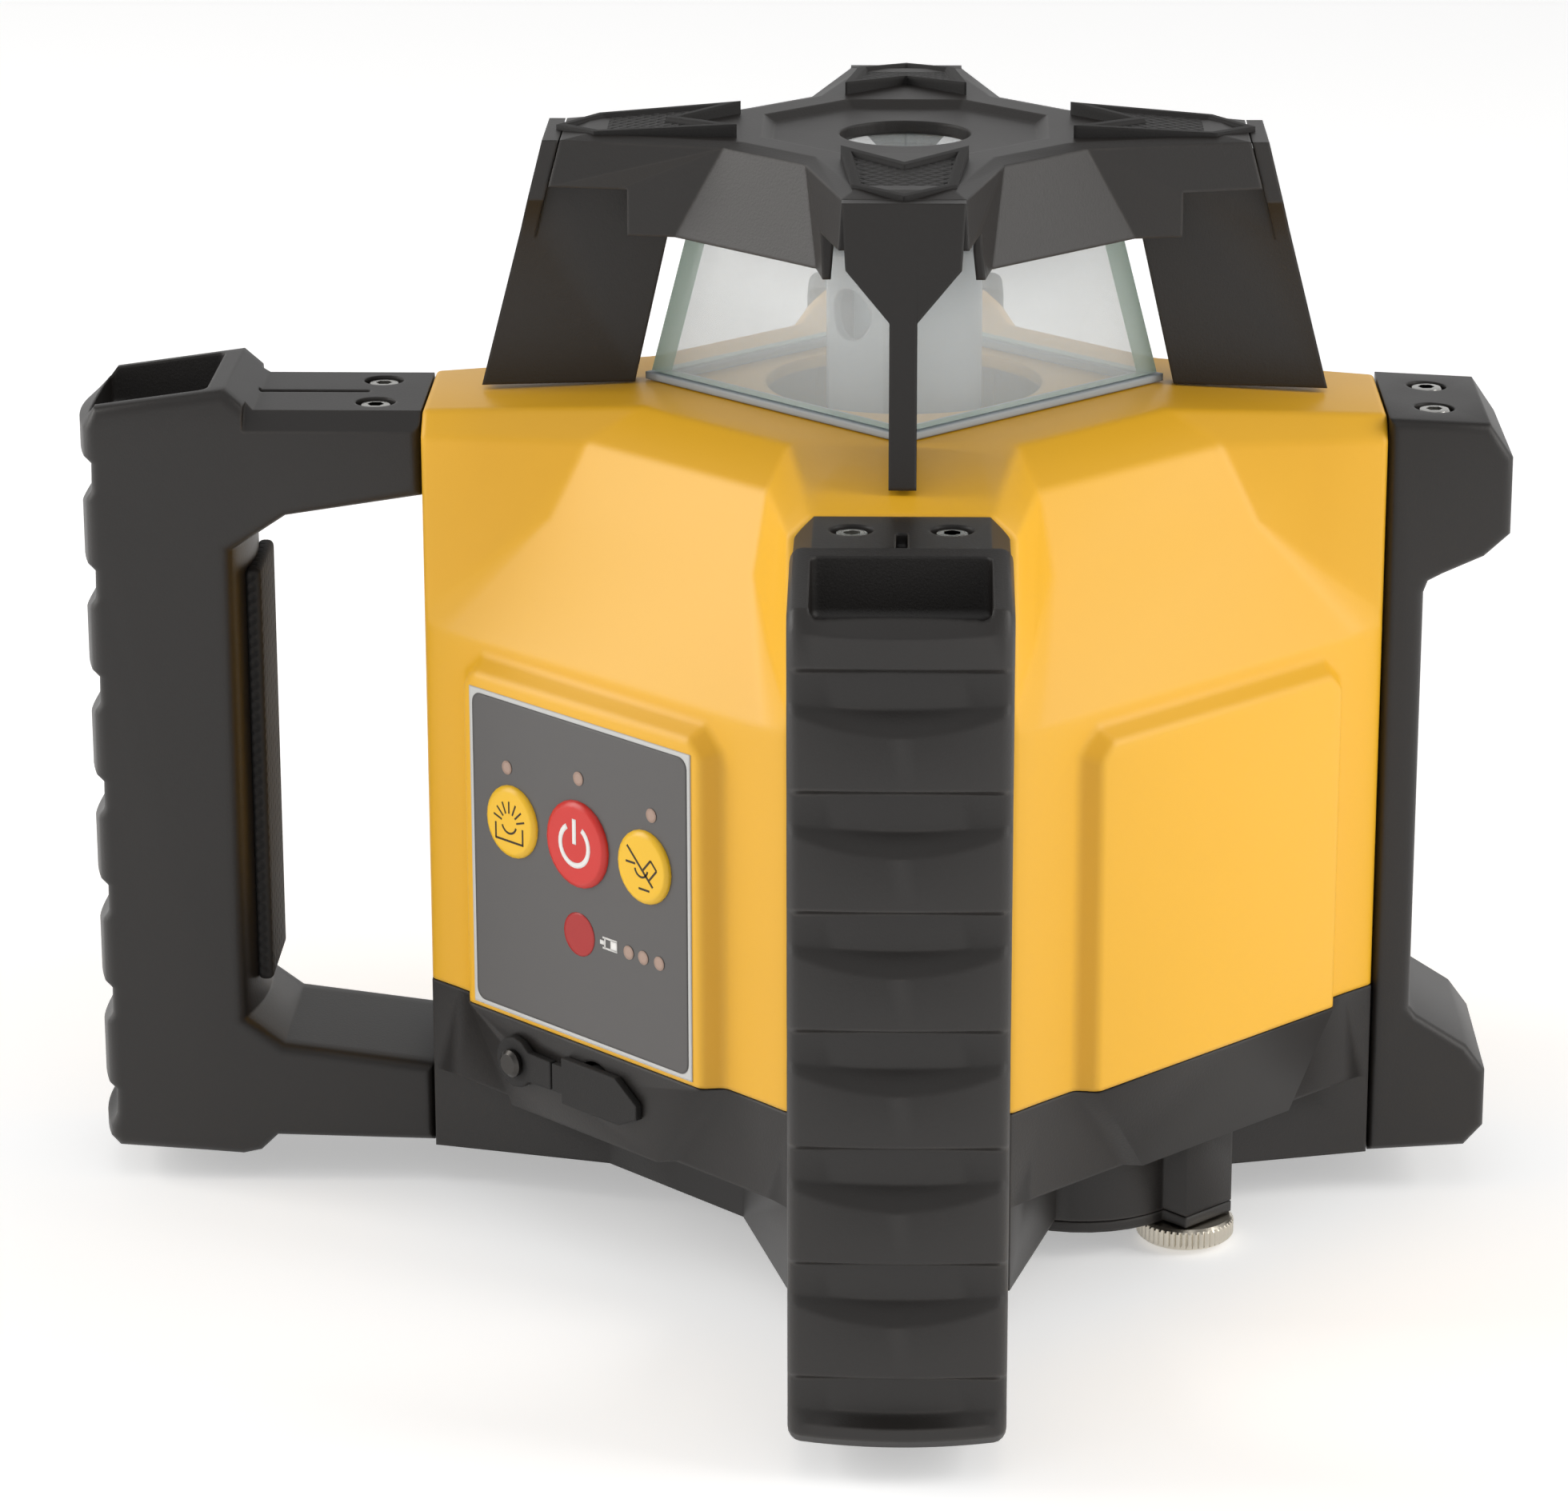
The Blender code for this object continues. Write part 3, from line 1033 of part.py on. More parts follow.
def build_belt(tilt_y):
    mid = PULLEY_Z + PULLEY_TALL / 2
    lay = Matrix.Translation((0, 0, mid - PIVOT_Z))
    belt = outline_plate("drive_belt", belt_outline(GAP + BELT_THICK), PULLEY_TALL - 2.4 * MM, lay)
    hole = outline_plate("belt_hole", belt_outline(GAP), PULLEY_TALL + 5 * MM,
                         Matrix.Translation((0, 0, mid)))
    cut(belt, hole)
    show(belt, "rubber", tilt_y)


def build_head():
    """The turning head: a hollow spindle with a cup for the prism, open at the beam's side."""
    spin = empty("head_spin", (0, 0, PIVOT_Z), AXIS)
    top, foot = HEAD_TOP_Z - PIVOT_Z, HEAD_FOOT_Z - PIVOT_Z
    tail = PULLEY_Z - PIVOT_Z
    cup = HEAD_RADIUS - 2 * MM
    floor = foot + 6 * MM
    wheel = [(r, h + tail) for r, h in pulley_profile(HEAD_PULLEY, 0.9 * MM)]
    profile = [(HEAD_RADIUS - 1.2 * MM, top), (HEAD_RADIUS, top - 1.2 * MM), (HEAD_RADIUS, foot),
               (SPINDLE_RADIUS, foot - 4 * MM), (SPINDLE_RADIUS, tail + PULLEY_TALL + 1 * MM)]
    profile += wheel
    profile += [(SPINDLE_BORE, tail), (SPINDLE_BORE, floor), (cup, floor), (cup, top)]
    head = turned("rotor_head", profile, 24)
    window = rod("beam_window", 5.5 * MM, (0, 0, BEAM_Z), (0, -40 * MM, BEAM_Z), 20)
    cut(head, window)
    show(head, "head_grey", spin)
    half = 7.5 * MM
    prism = block("pentaprism", (-half, -half, floor + GAP), (half, half, BEAM_Z + 8 * MM - PIVOT_Z))
    show(prism, "glass", spin)


def build_levelling():
    """Two small geared motors, each with a lead screw and the nut that moves a lever."""
    for name, ((x, y), centre, turn) in LEAD_SCREWS.items():
        high = CHASSIS_Z - GAP
        foot = high - 18 * MM
        screw_top = centre + 11 * MM
        profile = [(0, screw_top), (1.5 * MM, screw_top), (1.5 * MM, high), (6 * MM, high),
                   (6 * MM, foot), (0, foot)]
        show(turned(f"levelling_motor_{name}", profile, 14, (x, y, 0)), "steel")
        slide = empty(f"levelling_nut_{name}_slide", (x, y, centre), AXIS)
        slide.rotation_euler = (0, 0, math.radians(turn))
        half, tall = 4.5 * MM, NUT_SLOT / 2 + 2 * MM
        nut = block(f"levelling_nut_{name}", (-half, -half, -tall), (half, half + 4 * MM, tall))
        slot = block(f"nut_slot_{name}", (-10 * MM, half - 1.2 * MM, -NUT_SLOT / 2),
                     (10 * MM, 20 * MM, NUT_SLOT / 2))
        screw_hole = rod(f"nut_bore_{name}", 1.5 * MM + GAP, (0, 0, -20 * MM), (0, 0, 20 * MM), 16)
        cut(nut, slot, screw_hole)
        slot.parent = slide
        screw_hole.parent = slide
        show(nut, "brass", slide)


# ---- Main board ----------------------------------------------------------------------------
def build_board():
    """The control board stands behind the gimbal, on the rear face's inside."""
    y = BODY_FACE - SHELL_WALL - 5 * MM
    board = block("main_board", (-34 * MM, y - 1.6 * MM, SPLIT_Z + 12.7 * MM),
                  (34 * MM, y, SPLIT_Z + 70.7 * MM))
    show(board, "board")


housing_shell = build_housing()
build_keypad(housing_shell)
base_shell = build_base()
build_charging(base_shell)
build_battery()
build_glass()
build_posts()
build_cap()
build_pads()
for handle_arm in ("front_left", "front_right"):
    build_handle(handle_arm)
for bumper_arm in ("rear_left", "rear_right"):
    build_bumper(bumper_arm)
build_chassis()
build_gimbal()
build_levelling()
build_board()
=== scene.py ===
import math

import bmesh
import bpy
from mathutils import Matrix, Vector


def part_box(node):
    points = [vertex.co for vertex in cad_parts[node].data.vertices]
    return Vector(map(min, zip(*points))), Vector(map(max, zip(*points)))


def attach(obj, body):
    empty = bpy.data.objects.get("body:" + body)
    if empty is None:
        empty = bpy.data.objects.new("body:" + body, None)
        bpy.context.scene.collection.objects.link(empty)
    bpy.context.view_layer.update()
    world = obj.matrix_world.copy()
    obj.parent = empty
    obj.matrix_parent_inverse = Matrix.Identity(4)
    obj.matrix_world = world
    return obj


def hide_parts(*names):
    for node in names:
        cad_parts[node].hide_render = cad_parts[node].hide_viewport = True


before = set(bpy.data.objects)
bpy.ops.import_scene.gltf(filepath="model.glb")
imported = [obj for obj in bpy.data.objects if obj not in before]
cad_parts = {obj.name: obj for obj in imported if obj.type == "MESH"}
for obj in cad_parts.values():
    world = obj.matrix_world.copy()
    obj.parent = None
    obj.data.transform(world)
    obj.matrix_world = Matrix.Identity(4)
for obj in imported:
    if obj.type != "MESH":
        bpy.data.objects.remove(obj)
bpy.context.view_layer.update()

# ---- Camera --------------------------------------------------------------------------------
# A long lens on one corner of the level, a little above it, so that the right-hand handle
# comes straight at the viewer.
camera = bpy.data.objects.new("camera", bpy.data.cameras.new("camera"))
camera.data.lens = 125.5
camera.data.sensor_width = 36.0
camera.data.clip_end = 20.0
camera.location = (0.7932, -0.7743, 0.4436)
camera.rotation_euler = (math.radians(72.5), math.radians(0.1), math.radians(46.39))
bpy.context.scene.collection.objects.link(camera)
bpy.context.scene.camera = camera

# ---- Room and light ------------------------------------------------------------------------
# A white paper sweep, a pale sky that is brightest at the horizon, and three wide soft boxes:
# the even light of a white studio, with only a faint shadow under the level.
floor_mesh = bpy.data.meshes.new("floor")
sweep = bmesh.new()
bmesh.ops.create_grid(sweep, x_segments=1, y_segments=1, size=6.0)
sweep.to_mesh(floor_mesh)
sweep.free()
floor = bpy.data.objects.new("floor", floor_mesh)
bpy.context.scene.collection.objects.link(floor)
paper = bpy.data.materials.new("white_paper")
paper.use_nodes = True
paper_shader = paper.node_tree.nodes["Principled BSDF"]
paper_shader.inputs["Base Color"].default_value = (0.92, 0.92, 0.92, 1)
paper_shader.inputs["Roughness"].default_value = 0.9
paper_shader.inputs["Emission Color"].default_value = (1, 1, 1, 1)
paper_shader.inputs["Emission Strength"].default_value = 0.38
floor_mesh.materials.append(paper)

sky = bpy.data.worlds.new("studio")
sky.use_nodes = True
sky_tree = sky.node_tree
sky_place = sky_tree.nodes.new("ShaderNodeTexCoord")
sky_split = sky_tree.nodes.new("ShaderNodeSeparateXYZ")
sky_fade = sky_tree.nodes.new("ShaderNodeMapRange")
sky_fade.inputs["From Max"].default_value = 0.9
sky_fade.inputs["To Min"].default_value = 0.95
sky_fade.inputs["To Max"].default_value = 0.25
sky_tree.links.new(sky_place.outputs["Generated"], sky_split.inputs["Vector"])
sky_tree.links.new(sky_split.outputs["Z"], sky_fade.inputs["Value"])
sky_tree.links.new(sky_fade.outputs["Result"], sky_tree.nodes["Background"].inputs["Strength"])
sky_tree.nodes["Background"].inputs["Color"].default_value = (1, 1, 1, 1)
bpy.context.scene.world = sky
bpy.context.scene.view_settings.view_transform = "Standard"


def soft_box(name, place, size, watts, colour=(1, 1, 1)):
    lamp = bpy.data.lights.new(name, "AREA")
    lamp.shape = "RECTANGLE"
    lamp.size, lamp.size_y = size
    lamp.energy = watts
    lamp.color = colour
    holder = bpy.data.objects.new(name, lamp)
    holder.location = place
    aim = Vector((0, 0, 0.1)) - Vector(place)
    holder.rotation_euler = aim.to_track_quat("-Z", "Y").to_euler()
    bpy.context.scene.collection.objects.link(holder)


soft_box("left_box", (-1.5, -1.2, 0.9), (1.0, 1.4), 20, (1.0, 0.98, 0.95))
soft_box("right_box", (1.5, 1.0, 1.0), (1.0, 1.4), 17, (1.0, 0.98, 0.95))
soft_box("top_box", (0.3, -0.5, 1.9), (1.4, 1.4), 4)

# ---- Housing -------------------------------------------------------------------------------
# The yellow upper shell: one ABS moulding, cross-shaped in plan, with sloped shoulders, a
# raised panel on each side face and a round opening in its top for the laser head.
MM = 0.001
axis = Vector((0, sum(corner.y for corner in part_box("rotor_head")) / 2, 0))
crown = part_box("housing_shell")[1].z
shoulder = crown - 2.3 * MM
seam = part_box("housing_shell")[0].z
arm_reach, arm_half, arm_top_half = 100.0, 22.4, 17.5
screw_out, screw_across, counterbore_radius = 110.4, 9.6, 4.25
body_face, face_end = 86.3, 28.0
panel_half, panel_top, panel_nib, panel_proud, panel_soft = 39.0, -47.6, 5.0, 4.0, 3.0
panel_shifts = (-2.5, 2.5, -2.5, 2.5)
wall_thickness, opening_radius = 2.6, 29.0


def turn(degrees, line="Z"):
    return Matrix.Rotation(math.radians(degrees), 4, line)


def loop_of(bm, points):
    """A closed loop of edges through points given in millimetres from the shoulder."""
    corners = [bm.verts.new(Vector(point) * MM) for point in points]
    return [bm.edges.new(pair) for pair in zip(corners, corners[1:] + corners[:1])]


def loft(bm, rings, cap_first=False, cap_last=False):
    """A skin over loops of equally many points, with its first or last loop closed."""
    loops = [loop_of(bm, ring) for ring in rings]
    for near, far in zip(loops, loops[1:]):
        bmesh.ops.bridge_loops(bm, edges=near + far)
    if cap_first:
        bmesh.ops.contextual_create(bm, geom=loops[0])
    if cap_last:
        bmesh.ops.contextual_create(bm, geom=loops[-1])
    return loops


def round_four(half_arm):
    """Repeats the (out, across, up) points of half an arm round the body's four arms."""
    points = []
    for quarter in range(4):
        arm = turn(45 + 90 * quarter)
        points += [arm @ Vector((out, -across, up)) for out, across, up in half_arm]
        points += [arm @ Vector((out, across, up)) for out, across, up in reversed(half_arm)]
    return points


def body_ring(face, across, mid_share, half, corner_z, joint_z):
    """The body's outline: each side face's corner, a point on the arm's flank, the joint."""
    out = face * math.sqrt(2) - across
    flank = [(out, across, corner_z)]
    flank.append((out + (arm_reach - out) * mid_share, across + (half - across) * mid_share,
                  corner_z + (joint_z - corner_z) * mid_share))
    flank.append((arm_reach, half, joint_z))
    return round_four(flank)


def soften(bm, width, angle=12, segments=3):
    """Rounds every edge that turns more than an angle, by a width in millimetres."""
    sharp = [edge for edge in bm.edges
             if len(edge.link_faces) == 2 and edge.calc_face_angle() > math.radians(angle)]
    bmesh.ops.bevel(bm, geom=sharp, offset=width * MM, segments=segments, profile=0.5,
                    affect="EDGES", clamp_overlap=False, material=-1)


def mesh_from(bm, name, smooth_angle=30):
    """Turns a bmesh into a smooth mesh with sharp edges above an angle, and frees it."""
    bmesh.ops.recalc_face_normals(bm, faces=bm.faces)
    mesh = bpy.data.meshes.new(name)
    bm.to_mesh(mesh)
    bm.free()
    mesh.shade_smooth()
    mesh.set_sharp_from_angle(angle=math.radians(smooth_angle))
    return mesh


def new_corners(extruded):
    """The corners that an extrusion made."""
    return [item for item in extruded["geom"] if isinstance(item, bmesh.types.BMVert)]


def stand_on_shoulder(bm, degrees=0.0):
    """From millimetres round the head's axis and above the shoulder to the level's frame."""
    place = Matrix.Translation(axis + Vector((0, 0, shoulder))) @ turn(degrees)
    bmesh.ops.transform(bm, matrix=place, verts=bm.verts)


def add_piece(mesh, body, slot, *materials):
    """Puts a mesh in the scene as a finished piece that rides a body."""
    for material in materials:
        mesh.materials.append(material)
    piece = bpy.data.objects.new(mesh.name, mesh)
    bpy.context.scene.collection.objects.link(piece)
    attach(piece, body)
    return piece


def baked(piece):
    """Replaces a piece's mesh by the one its modifiers make."""
    graph = bpy.context.evaluated_depsgraph_get()
    made = bpy.data.meshes.new_from_object(piece.evaluated_get(graph))
    name = piece.data.name
    piece.modifiers.clear()
    old = piece.data
    piece.data = made
    bpy.data.meshes.remove(old)
    made.name = name
    return piece


def carve(piece, *cutters):
    """Cuts meshes out of a piece."""
    helpers = []
    for number, mesh in enumerate(cutters):
        helper = bpy.data.objects.new(f"cutter_{number}", mesh)
        bpy.context.scene.collection.objects.link(helper)
        helpers.append(helper)
        slice_off = piece.modifiers.new(f"cut_{number}", "BOOLEAN")
        slice_off.operation = "DIFFERENCE"
        slice_off.solver = "EXACT"
        slice_off.object = helper
    baked(piece)
    piece.data.set_sharp_from_angle(angle=math.radians(30))
    for helper in helpers:
        mesh = helper.data
        bpy.data.objects.remove(helper, do_unlink=True)
        bpy.data.meshes.remove(mesh)
    return piece


def box_mesh(low, high, soft=0.0, degrees=0.0):
    """A block between two corners in millimetres, rounded, and turned about the axis."""
    low, high = Vector(low), Vector(high)
    bm = bmesh.new()
    bmesh.ops.create_cube(bm, size=1)
    bmesh.ops.scale(bm, vec=(high - low) * MM, verts=bm.verts)
    bmesh.ops.translate(bm, vec=(low + high) / 2 * MM, verts=bm.verts)
    if soft:
        soften(bm, soft)
    stand_on_shoulder(bm, degrees)
    return mesh_from(bm, "block")


def rod_mesh(radius, start, end, degrees=0.0, segments=48):
    """A round bar between two points in millimetres, turned about the axis."""
    start, end = Vector(start), Vector(end)
    along = end - start
    bm = bmesh.new()
    bmesh.ops.create_cone(bm, cap_ends=True, segments=segments, radius1=radius * MM,
                          radius2=radius * MM, depth=along.length * MM)
    lean = Vector((0, 0, 1)).rotation_difference(along).to_matrix().to_4x4()
    middle = Matrix.Translation((start + end) / 2 * MM)
    bmesh.ops.transform(bm, matrix=middle @ lean, verts=bm.verts)
    stand_on_shoulder(bm, degrees)
    return mesh_from(bm, "rod")


def counterbores(seat, degrees):
    """The two screw holes in the top of an arm's end piece, down to a seat."""
    return [rod_mesh(counterbore_radius, (screw_out, across, seat), (screw_out, across, 3),
                     degrees, 32) for across in (screw_across, -screw_across)]


def linear(code):
    """A colour picked as six hexadecimal digits, as light that a shader works in."""
    parts = [int(code[i:i + 2], 16) / 255 for i in (0, 2, 4)]
    return tuple(((p + 0.055) / 1.055) ** 2.4 if p > 0.04 else p / 12.92 for p in parts) + (1,)


# Every moulded finish shares this group: a fine spark-eroded grain for the bump, a slow drift
# of shade and gloss over the moulding, rounded edges, and a paler line where they are rubbed.
moulded_group = bpy.data.node_groups.new("moulded_surface", "ShaderNodeTree")
for socket_name, socket_type, value in (
        ("Colour", "NodeSocketColor", (0.5, 0.5, 0.5, 1)),
        ("Rubbed Colour", "NodeSocketColor", (0.7, 0.7, 0.7, 1)),
        ("Roughness", "NodeSocketFloat", 0.5),
        ("Grain Scale", "NodeSocketFloat", 2200.0),
        ("Drift", "NodeSocketFloat", 0.06),
        ("Wear", "NodeSocketFloat", 0.3),
        ("Edge Radius", "NodeSocketFloat", 0.001)):
    made = moulded_group.interface.new_socket(socket_name, in_out="INPUT", socket_type=socket_type)
    made.default_value = value
for socket_name, socket_type in (("Colour", "NodeSocketColor"), ("Roughness", "NodeSocketFloat"),
                                 ("Height", "NodeSocketFloat"), ("Normal", "NodeSocketVector")):
    moulded_group.interface.new_socket(socket_name, in_out="OUTPUT", socket_type=socket_type)


def add_node(tree, kind, settings=(), **inputs):
    """A shader node with its settings, and its inputs set by name."""
    made = tree.nodes.new(kind)
    for key, value in dict(settings).items():
        setattr(made, key, value)
    for key, value in inputs.items():
        made.inputs[key.replace("_", " ")].default_value = value
    return made


def build_moulded_group():
    tree = moulded_group
    source = tree.nodes.new("NodeGroupInput")
    sink = tree.nodes.new("NodeGroupOutput")
    place = tree.nodes.new("ShaderNodeTexCoord")
    grain = add_node(tree, "ShaderNodeTexNoise", Detail=3.0, Roughness=0.6)
    tree.links.new(place.outputs["Object"], grain.inputs["Vector"])
    tree.links.new(source.outputs["Grain Scale"], grain.inputs["Scale"])
    drift = add_node(tree, "ShaderNodeTexNoise", Scale=22.0, Detail=4.0, Roughness=0.55)
    tree.links.new(place.outputs["Object"], drift.inputs["Vector"])
    centred = add_node(tree, "ShaderNodeMath", {"operation": "SUBTRACT"})
    centred.inputs[1].default_value = 0.5
    tree.links.new(drift.outputs["Fac"], centred.inputs[0])
    sway = add_node(tree, "ShaderNodeMath", {"operation": "MULTIPLY"})
    tree.links.new(centred.outputs[0], sway.inputs[0])
    tree.links.new(source.outputs["Drift"], sway.inputs[1])
    shade = add_node(tree, "ShaderNodeMath", {"operation": "MULTIPLY_ADD"})
    shade.inputs[1].default_value = 2.0
    shade.inputs[2].default_value = 1.0
    tree.links.new(sway.outputs[0], shade.inputs[0])
    tinted = add_node(tree, "ShaderNodeVectorMath", {"operation": "SCALE"})
    tree.links.new(source.outputs["Colour"], tinted.inputs[0])
    tree.links.new(shade.outputs[0], tinted.inputs["Scale"])
    rounded = add_node(tree, "ShaderNodeBevel", {"samples": 4})
    tree.links.new(source.outputs["Edge Radius"], rounded.inputs["Radius"])
    tree.links.new(rounded.outputs["Normal"], sink.inputs["Normal"])
    flat = tree.nodes.new("ShaderNodeNewGeometry")
    same = add_node(tree, "ShaderNodeVectorMath", {"operation": "DOT_PRODUCT"})
    tree.links.new(rounded.outputs["Normal"], same.inputs[0])
    tree.links.new(flat.outputs["Normal"], same.inputs[1])
    edge = add_node(tree, "ShaderNodeMapRange", From_Min=0.995, From_Max=0.93, To_Min=0.0, To_Max=1.0)
    tree.links.new(same.outputs["Value"], edge.inputs["Value"])
    broken = add_node(tree, "ShaderNodeMapRange", From_Min=0.42, From_Max=0.62)
    tree.links.new(drift.outputs["Fac"], broken.inputs["Value"])
    worn = add_node(tree, "ShaderNodeMath", {"operation": "MULTIPLY"})
    tree.links.new(edge.outputs["Result"], worn.inputs[0])
    tree.links.new(broken.outputs["Result"], worn.inputs[1])
    share = add_node(tree, "ShaderNodeMath", {"operation": "MULTIPLY"})
    tree.links.new(worn.outputs[0], share.inputs[0])
    tree.links.new(source.outputs["Wear"], share.inputs[1])
    mixed = add_node(tree, "ShaderNodeMix", {"data_type": "RGBA"})
    tree.links.new(share.outputs[0], mixed.inputs[0])
    tree.links.new(tinted.outputs["Vector"], mixed.inputs[6])
    tree.links.new(source.outputs["Rubbed Colour"], mixed.inputs[7])
    tree.links.new(mixed.outputs[2], sink.inputs["Colour"])
    gloss = add_node(tree, "ShaderNodeMath", {"operation": "ADD"})
    tree.links.new(source.outputs["Roughness"], gloss.inputs[0])
    tree.links.new(sway.outputs[0], gloss.inputs[1])
    tree.links.new(gloss.outputs[0], sink.inputs["Roughness"])
    tree.links.new(grain.outputs["Fac"], sink.inputs["Height"])


build_moulded_group()


def moulded(name, colour, rubbed, roughness, grain=2200.0, bump=0.25, drift=0.06, wear=0.3,
            metallic=0.0, specular=0.5, edge=0.9):
    """A material whose colour, gloss and grain come from the moulded surface."""
    material = bpy.data.materials.new(name)
    material.use_nodes = True
    tree = material.node_tree
    shader = tree.nodes["Principled BSDF"]
    shader.inputs["Metallic"].default_value = metallic
    shader.inputs["Specular IOR Level"].default_value = specular
    surface = tree.nodes.new("ShaderNodeGroup")
    surface.node_tree = moulded_group
    surface.inputs["Colour"].default_value = linear(colour)
    surface.inputs["Rubbed Colour"].default_value = linear(rubbed)
    surface.inputs["Roughness"].default_value = roughness
    surface.inputs["Grain Scale"].default_value = grain
    surface.inputs["Drift"].default_value = drift
    surface.inputs["Wear"].default_value = wear
    surface.inputs["Edge Radius"].default_value = edge * MM
    relief = add_node(tree, "ShaderNodeBump", Strength=bump, Distance=0.15 * MM)
    tree.links.new(surface.outputs["Height"], relief.inputs["Height"])
    tree.links.new(surface.outputs["Normal"], relief.inputs["Normal"])
    tree.links.new(surface.outputs["Colour"], shader.inputs["Base Color"])
    tree.links.new(surface.outputs["Roughness"], shader.inputs["Roughness"])
    tree.links.new(relief.outputs["Normal"], shader.inputs["Normal"])
    return material


yellow_plastic = moulded("yellow_plastic", "EFB428", "F8D27E", 0.4, grain=2600.0, bump=0.1,
                         drift=0.02, wear=0.25, edge=1.4)


def housing_rings(foot):
    """The housing's outlines from the rim of its opening down to its foot."""
    return [
        round_four([(47.0, 20.0, 2.3), (51.0, 15.0, 2.3), (54.0, 9.0, 2.3)]),
        body_ring(54.1, 23.0, 0.68, arm_top_half, 2.2, 0.0),
        body_ring(65.3, 27.0, 0.6, arm_half, -4.5, -4.5),
        body_ring(72.8, 30.0, 0.5, arm_half, -20.5, -40.0),
        body_ring(body_face, face_end, 0.5, arm_half, -45.0, -45.0),
        body_ring(body_face, face_end, 0.5, arm_half, foot, foot),
    ]


def raise_panel(bm, quarter, lines, foot, top):
    """Cuts a panel's outline into a side face along lines, then raises what lies inside."""
    face_turn = turn(90 * quarter)
    outward = face_turn @ Vector((0, -1, 0))

    def on_face():
        return [face for face in bm.faces
                if face.normal.dot(outward) ** 2 > 0.999
                and abs(face.calc_center_median().dot(outward) - body_face * MM) < 0.2 * MM
                and foot * MM < face.calc_center_median().z < top * MM]

    for x, z, lean_x, lean_z in lines:
        faces = on_face()
        parts = {item for face in faces for item in (face, *face.edges, *face.verts)}
        bmesh.ops.bisect_plane(bm, geom=list(parts), dist=0.00001,
                               plane_co=face_turn @ Vector((x, -body_face, z)) * MM,
                               plane_no=face_turn @ Vector((lean_x, 0, lean_z)))
        bm.normal_update()
    inside = []
    for face in on_face():
        spot = face_turn.inverted() @ face.calc_center_median() / MM
        if all((spot.x - x) * lean_x + (spot.z - z) * lean_z < 0 for x, z, lean_x, lean_z in lines):
            inside.append(face)
    bmesh.ops.inset_region(bm, faces=inside, use_boundary=False, use_even_offset=True,
                           thickness=panel_soft * MM, depth=panel_proud * MM)


skin = bmesh.new()
foot_up = (seam - shoulder) / MM
loft(skin, housing_rings(foot_up), cap_first=True)
bmesh.ops.recalc_face_normals(skin, faces=skin.faces)
for quarter, shift in enumerate(panel_shifts):
    nib = panel_nib / 2
    edges_of_panel = [
        (shift - panel_half, 0, -1, 0), (shift + panel_half, 0, 1, 0), (0, panel_top, 0, 1),
        (shift - panel_half + nib, panel_top - nib, -1, 1),
        (shift + panel_half - nib, panel_top - nib, 1, 1)]
    raise_panel(skin, quarter, edges_of_panel, foot_up, -45.0)
soften(skin, 1.15)
stand_on_shoulder(skin)
housing = add_piece(mesh_from(skin, "housing"), "body", "housing_yellow", yellow_plastic)
wall = housing.modifiers.new("wall", "SOLIDIFY")
wall.thickness = wall_thickness * MM
wall.offset = -1
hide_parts("housing_shell")
baked(housing)
plate_low, plate_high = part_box("keypad_plate")
plate_lip = 0.003
carve(housing, rod_mesh(opening_radius, (0, 0, -12), (0, 0, 12), segments=96),
      box_mesh(((plate_low.x + plate_lip) / MM, -110,
                (plate_low.z + plate_lip - shoulder) / MM),
               ((plate_high.x - plate_lip) / MM, -75,
                (plate_high.z - plate_lip - shoulder) / MM)))


# ---- Base ----------------------------------------------------------------------------------
# The black lower shell: glass-filled nylon with a fine grain, carrying the tripod boss, the
# battery pod and the charging socket. Its battery door and thumb-screw lug are like it.
black_plastic = moulded("black_plastic", "201D1B", "625D59", 0.44, grain=1900.0, bump=0.3,
                        drift=0.08, wear=0.35)


def smooth_copy(source, body, slot, *materials, smooth=32, flat=0.5):
    """The CAD piece's own shape, merged and smoothly shaded, as a finished piece."""
    bm = bmesh.new()
    bm.from_mesh(bpy.data.objects[source].data)
    bm.transform(bpy.data.objects[source].matrix_world)
    bmesh.ops.remove_doubles(bm, verts=bm.verts, dist=0.01 * MM)
    bmesh.ops.dissolve_limit(bm, angle_limit=math.radians(flat), verts=bm.verts, edges=bm.edges)
    piece = add_piece(mesh_from(bm, f"{source}_finish", smooth), body, slot, *materials)
    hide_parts(source)
    return piece


bpy.context.view_layer.update()
smooth_copy("base_shell", "body", "black_plastic", black_plastic)
smooth_copy("battery_door", "battery_door", "black_plastic", black_plastic)

# ---- Handles -------------------------------------------------------------------------------
# Two D-shaped carrying handles moulded in black nylon on the front arms: a crowned grip with
# seven lens-shaped finger grooves, a small open tray on top and two screws in counterbores.
arm_turns = {"front_left": -135, "front_right": -45, "rear_right": 45, "rear_left": 135}
grip_half, grip_out, grip_crown, groove_floor = 20.8, 173.4, 3.4, 169.0
groove_first, groove_pitch, groove_count = -14.8, 23.2, 7
groove_profile = ((0.0, 4.6, -0.8), (0.25, 4.3, -0.7), (1.0, 3.4, -0.2), (0.92, -1.9, 1.5),
                  (0.75, -2.6, 1.6), (0.12, -3.6, 3.3), (0.0, -4.4, 3.4))


def inward(points):
    """For each corner of an outline, the direction that shrinks it evenly."""
    area = sum(a[0] * b[1] - b[0] * a[1] for a, b in zip(points, points[1:] + points[:1]))
    ways = []
    for i, here in enumerate(points):
        back, ahead = points[i - 1], points[(i + 1) % len(points)]
        first = Vector((back[1] - here[1], here[0] - back[0])).normalized()
        last = Vector((here[1] - ahead[1], ahead[0] - here[0])).normalized()
        way = (first + last) * (1 if area > 0 else -1)
        ways.append(way / max(way.length_squared / 2, 0.5))
    return ways


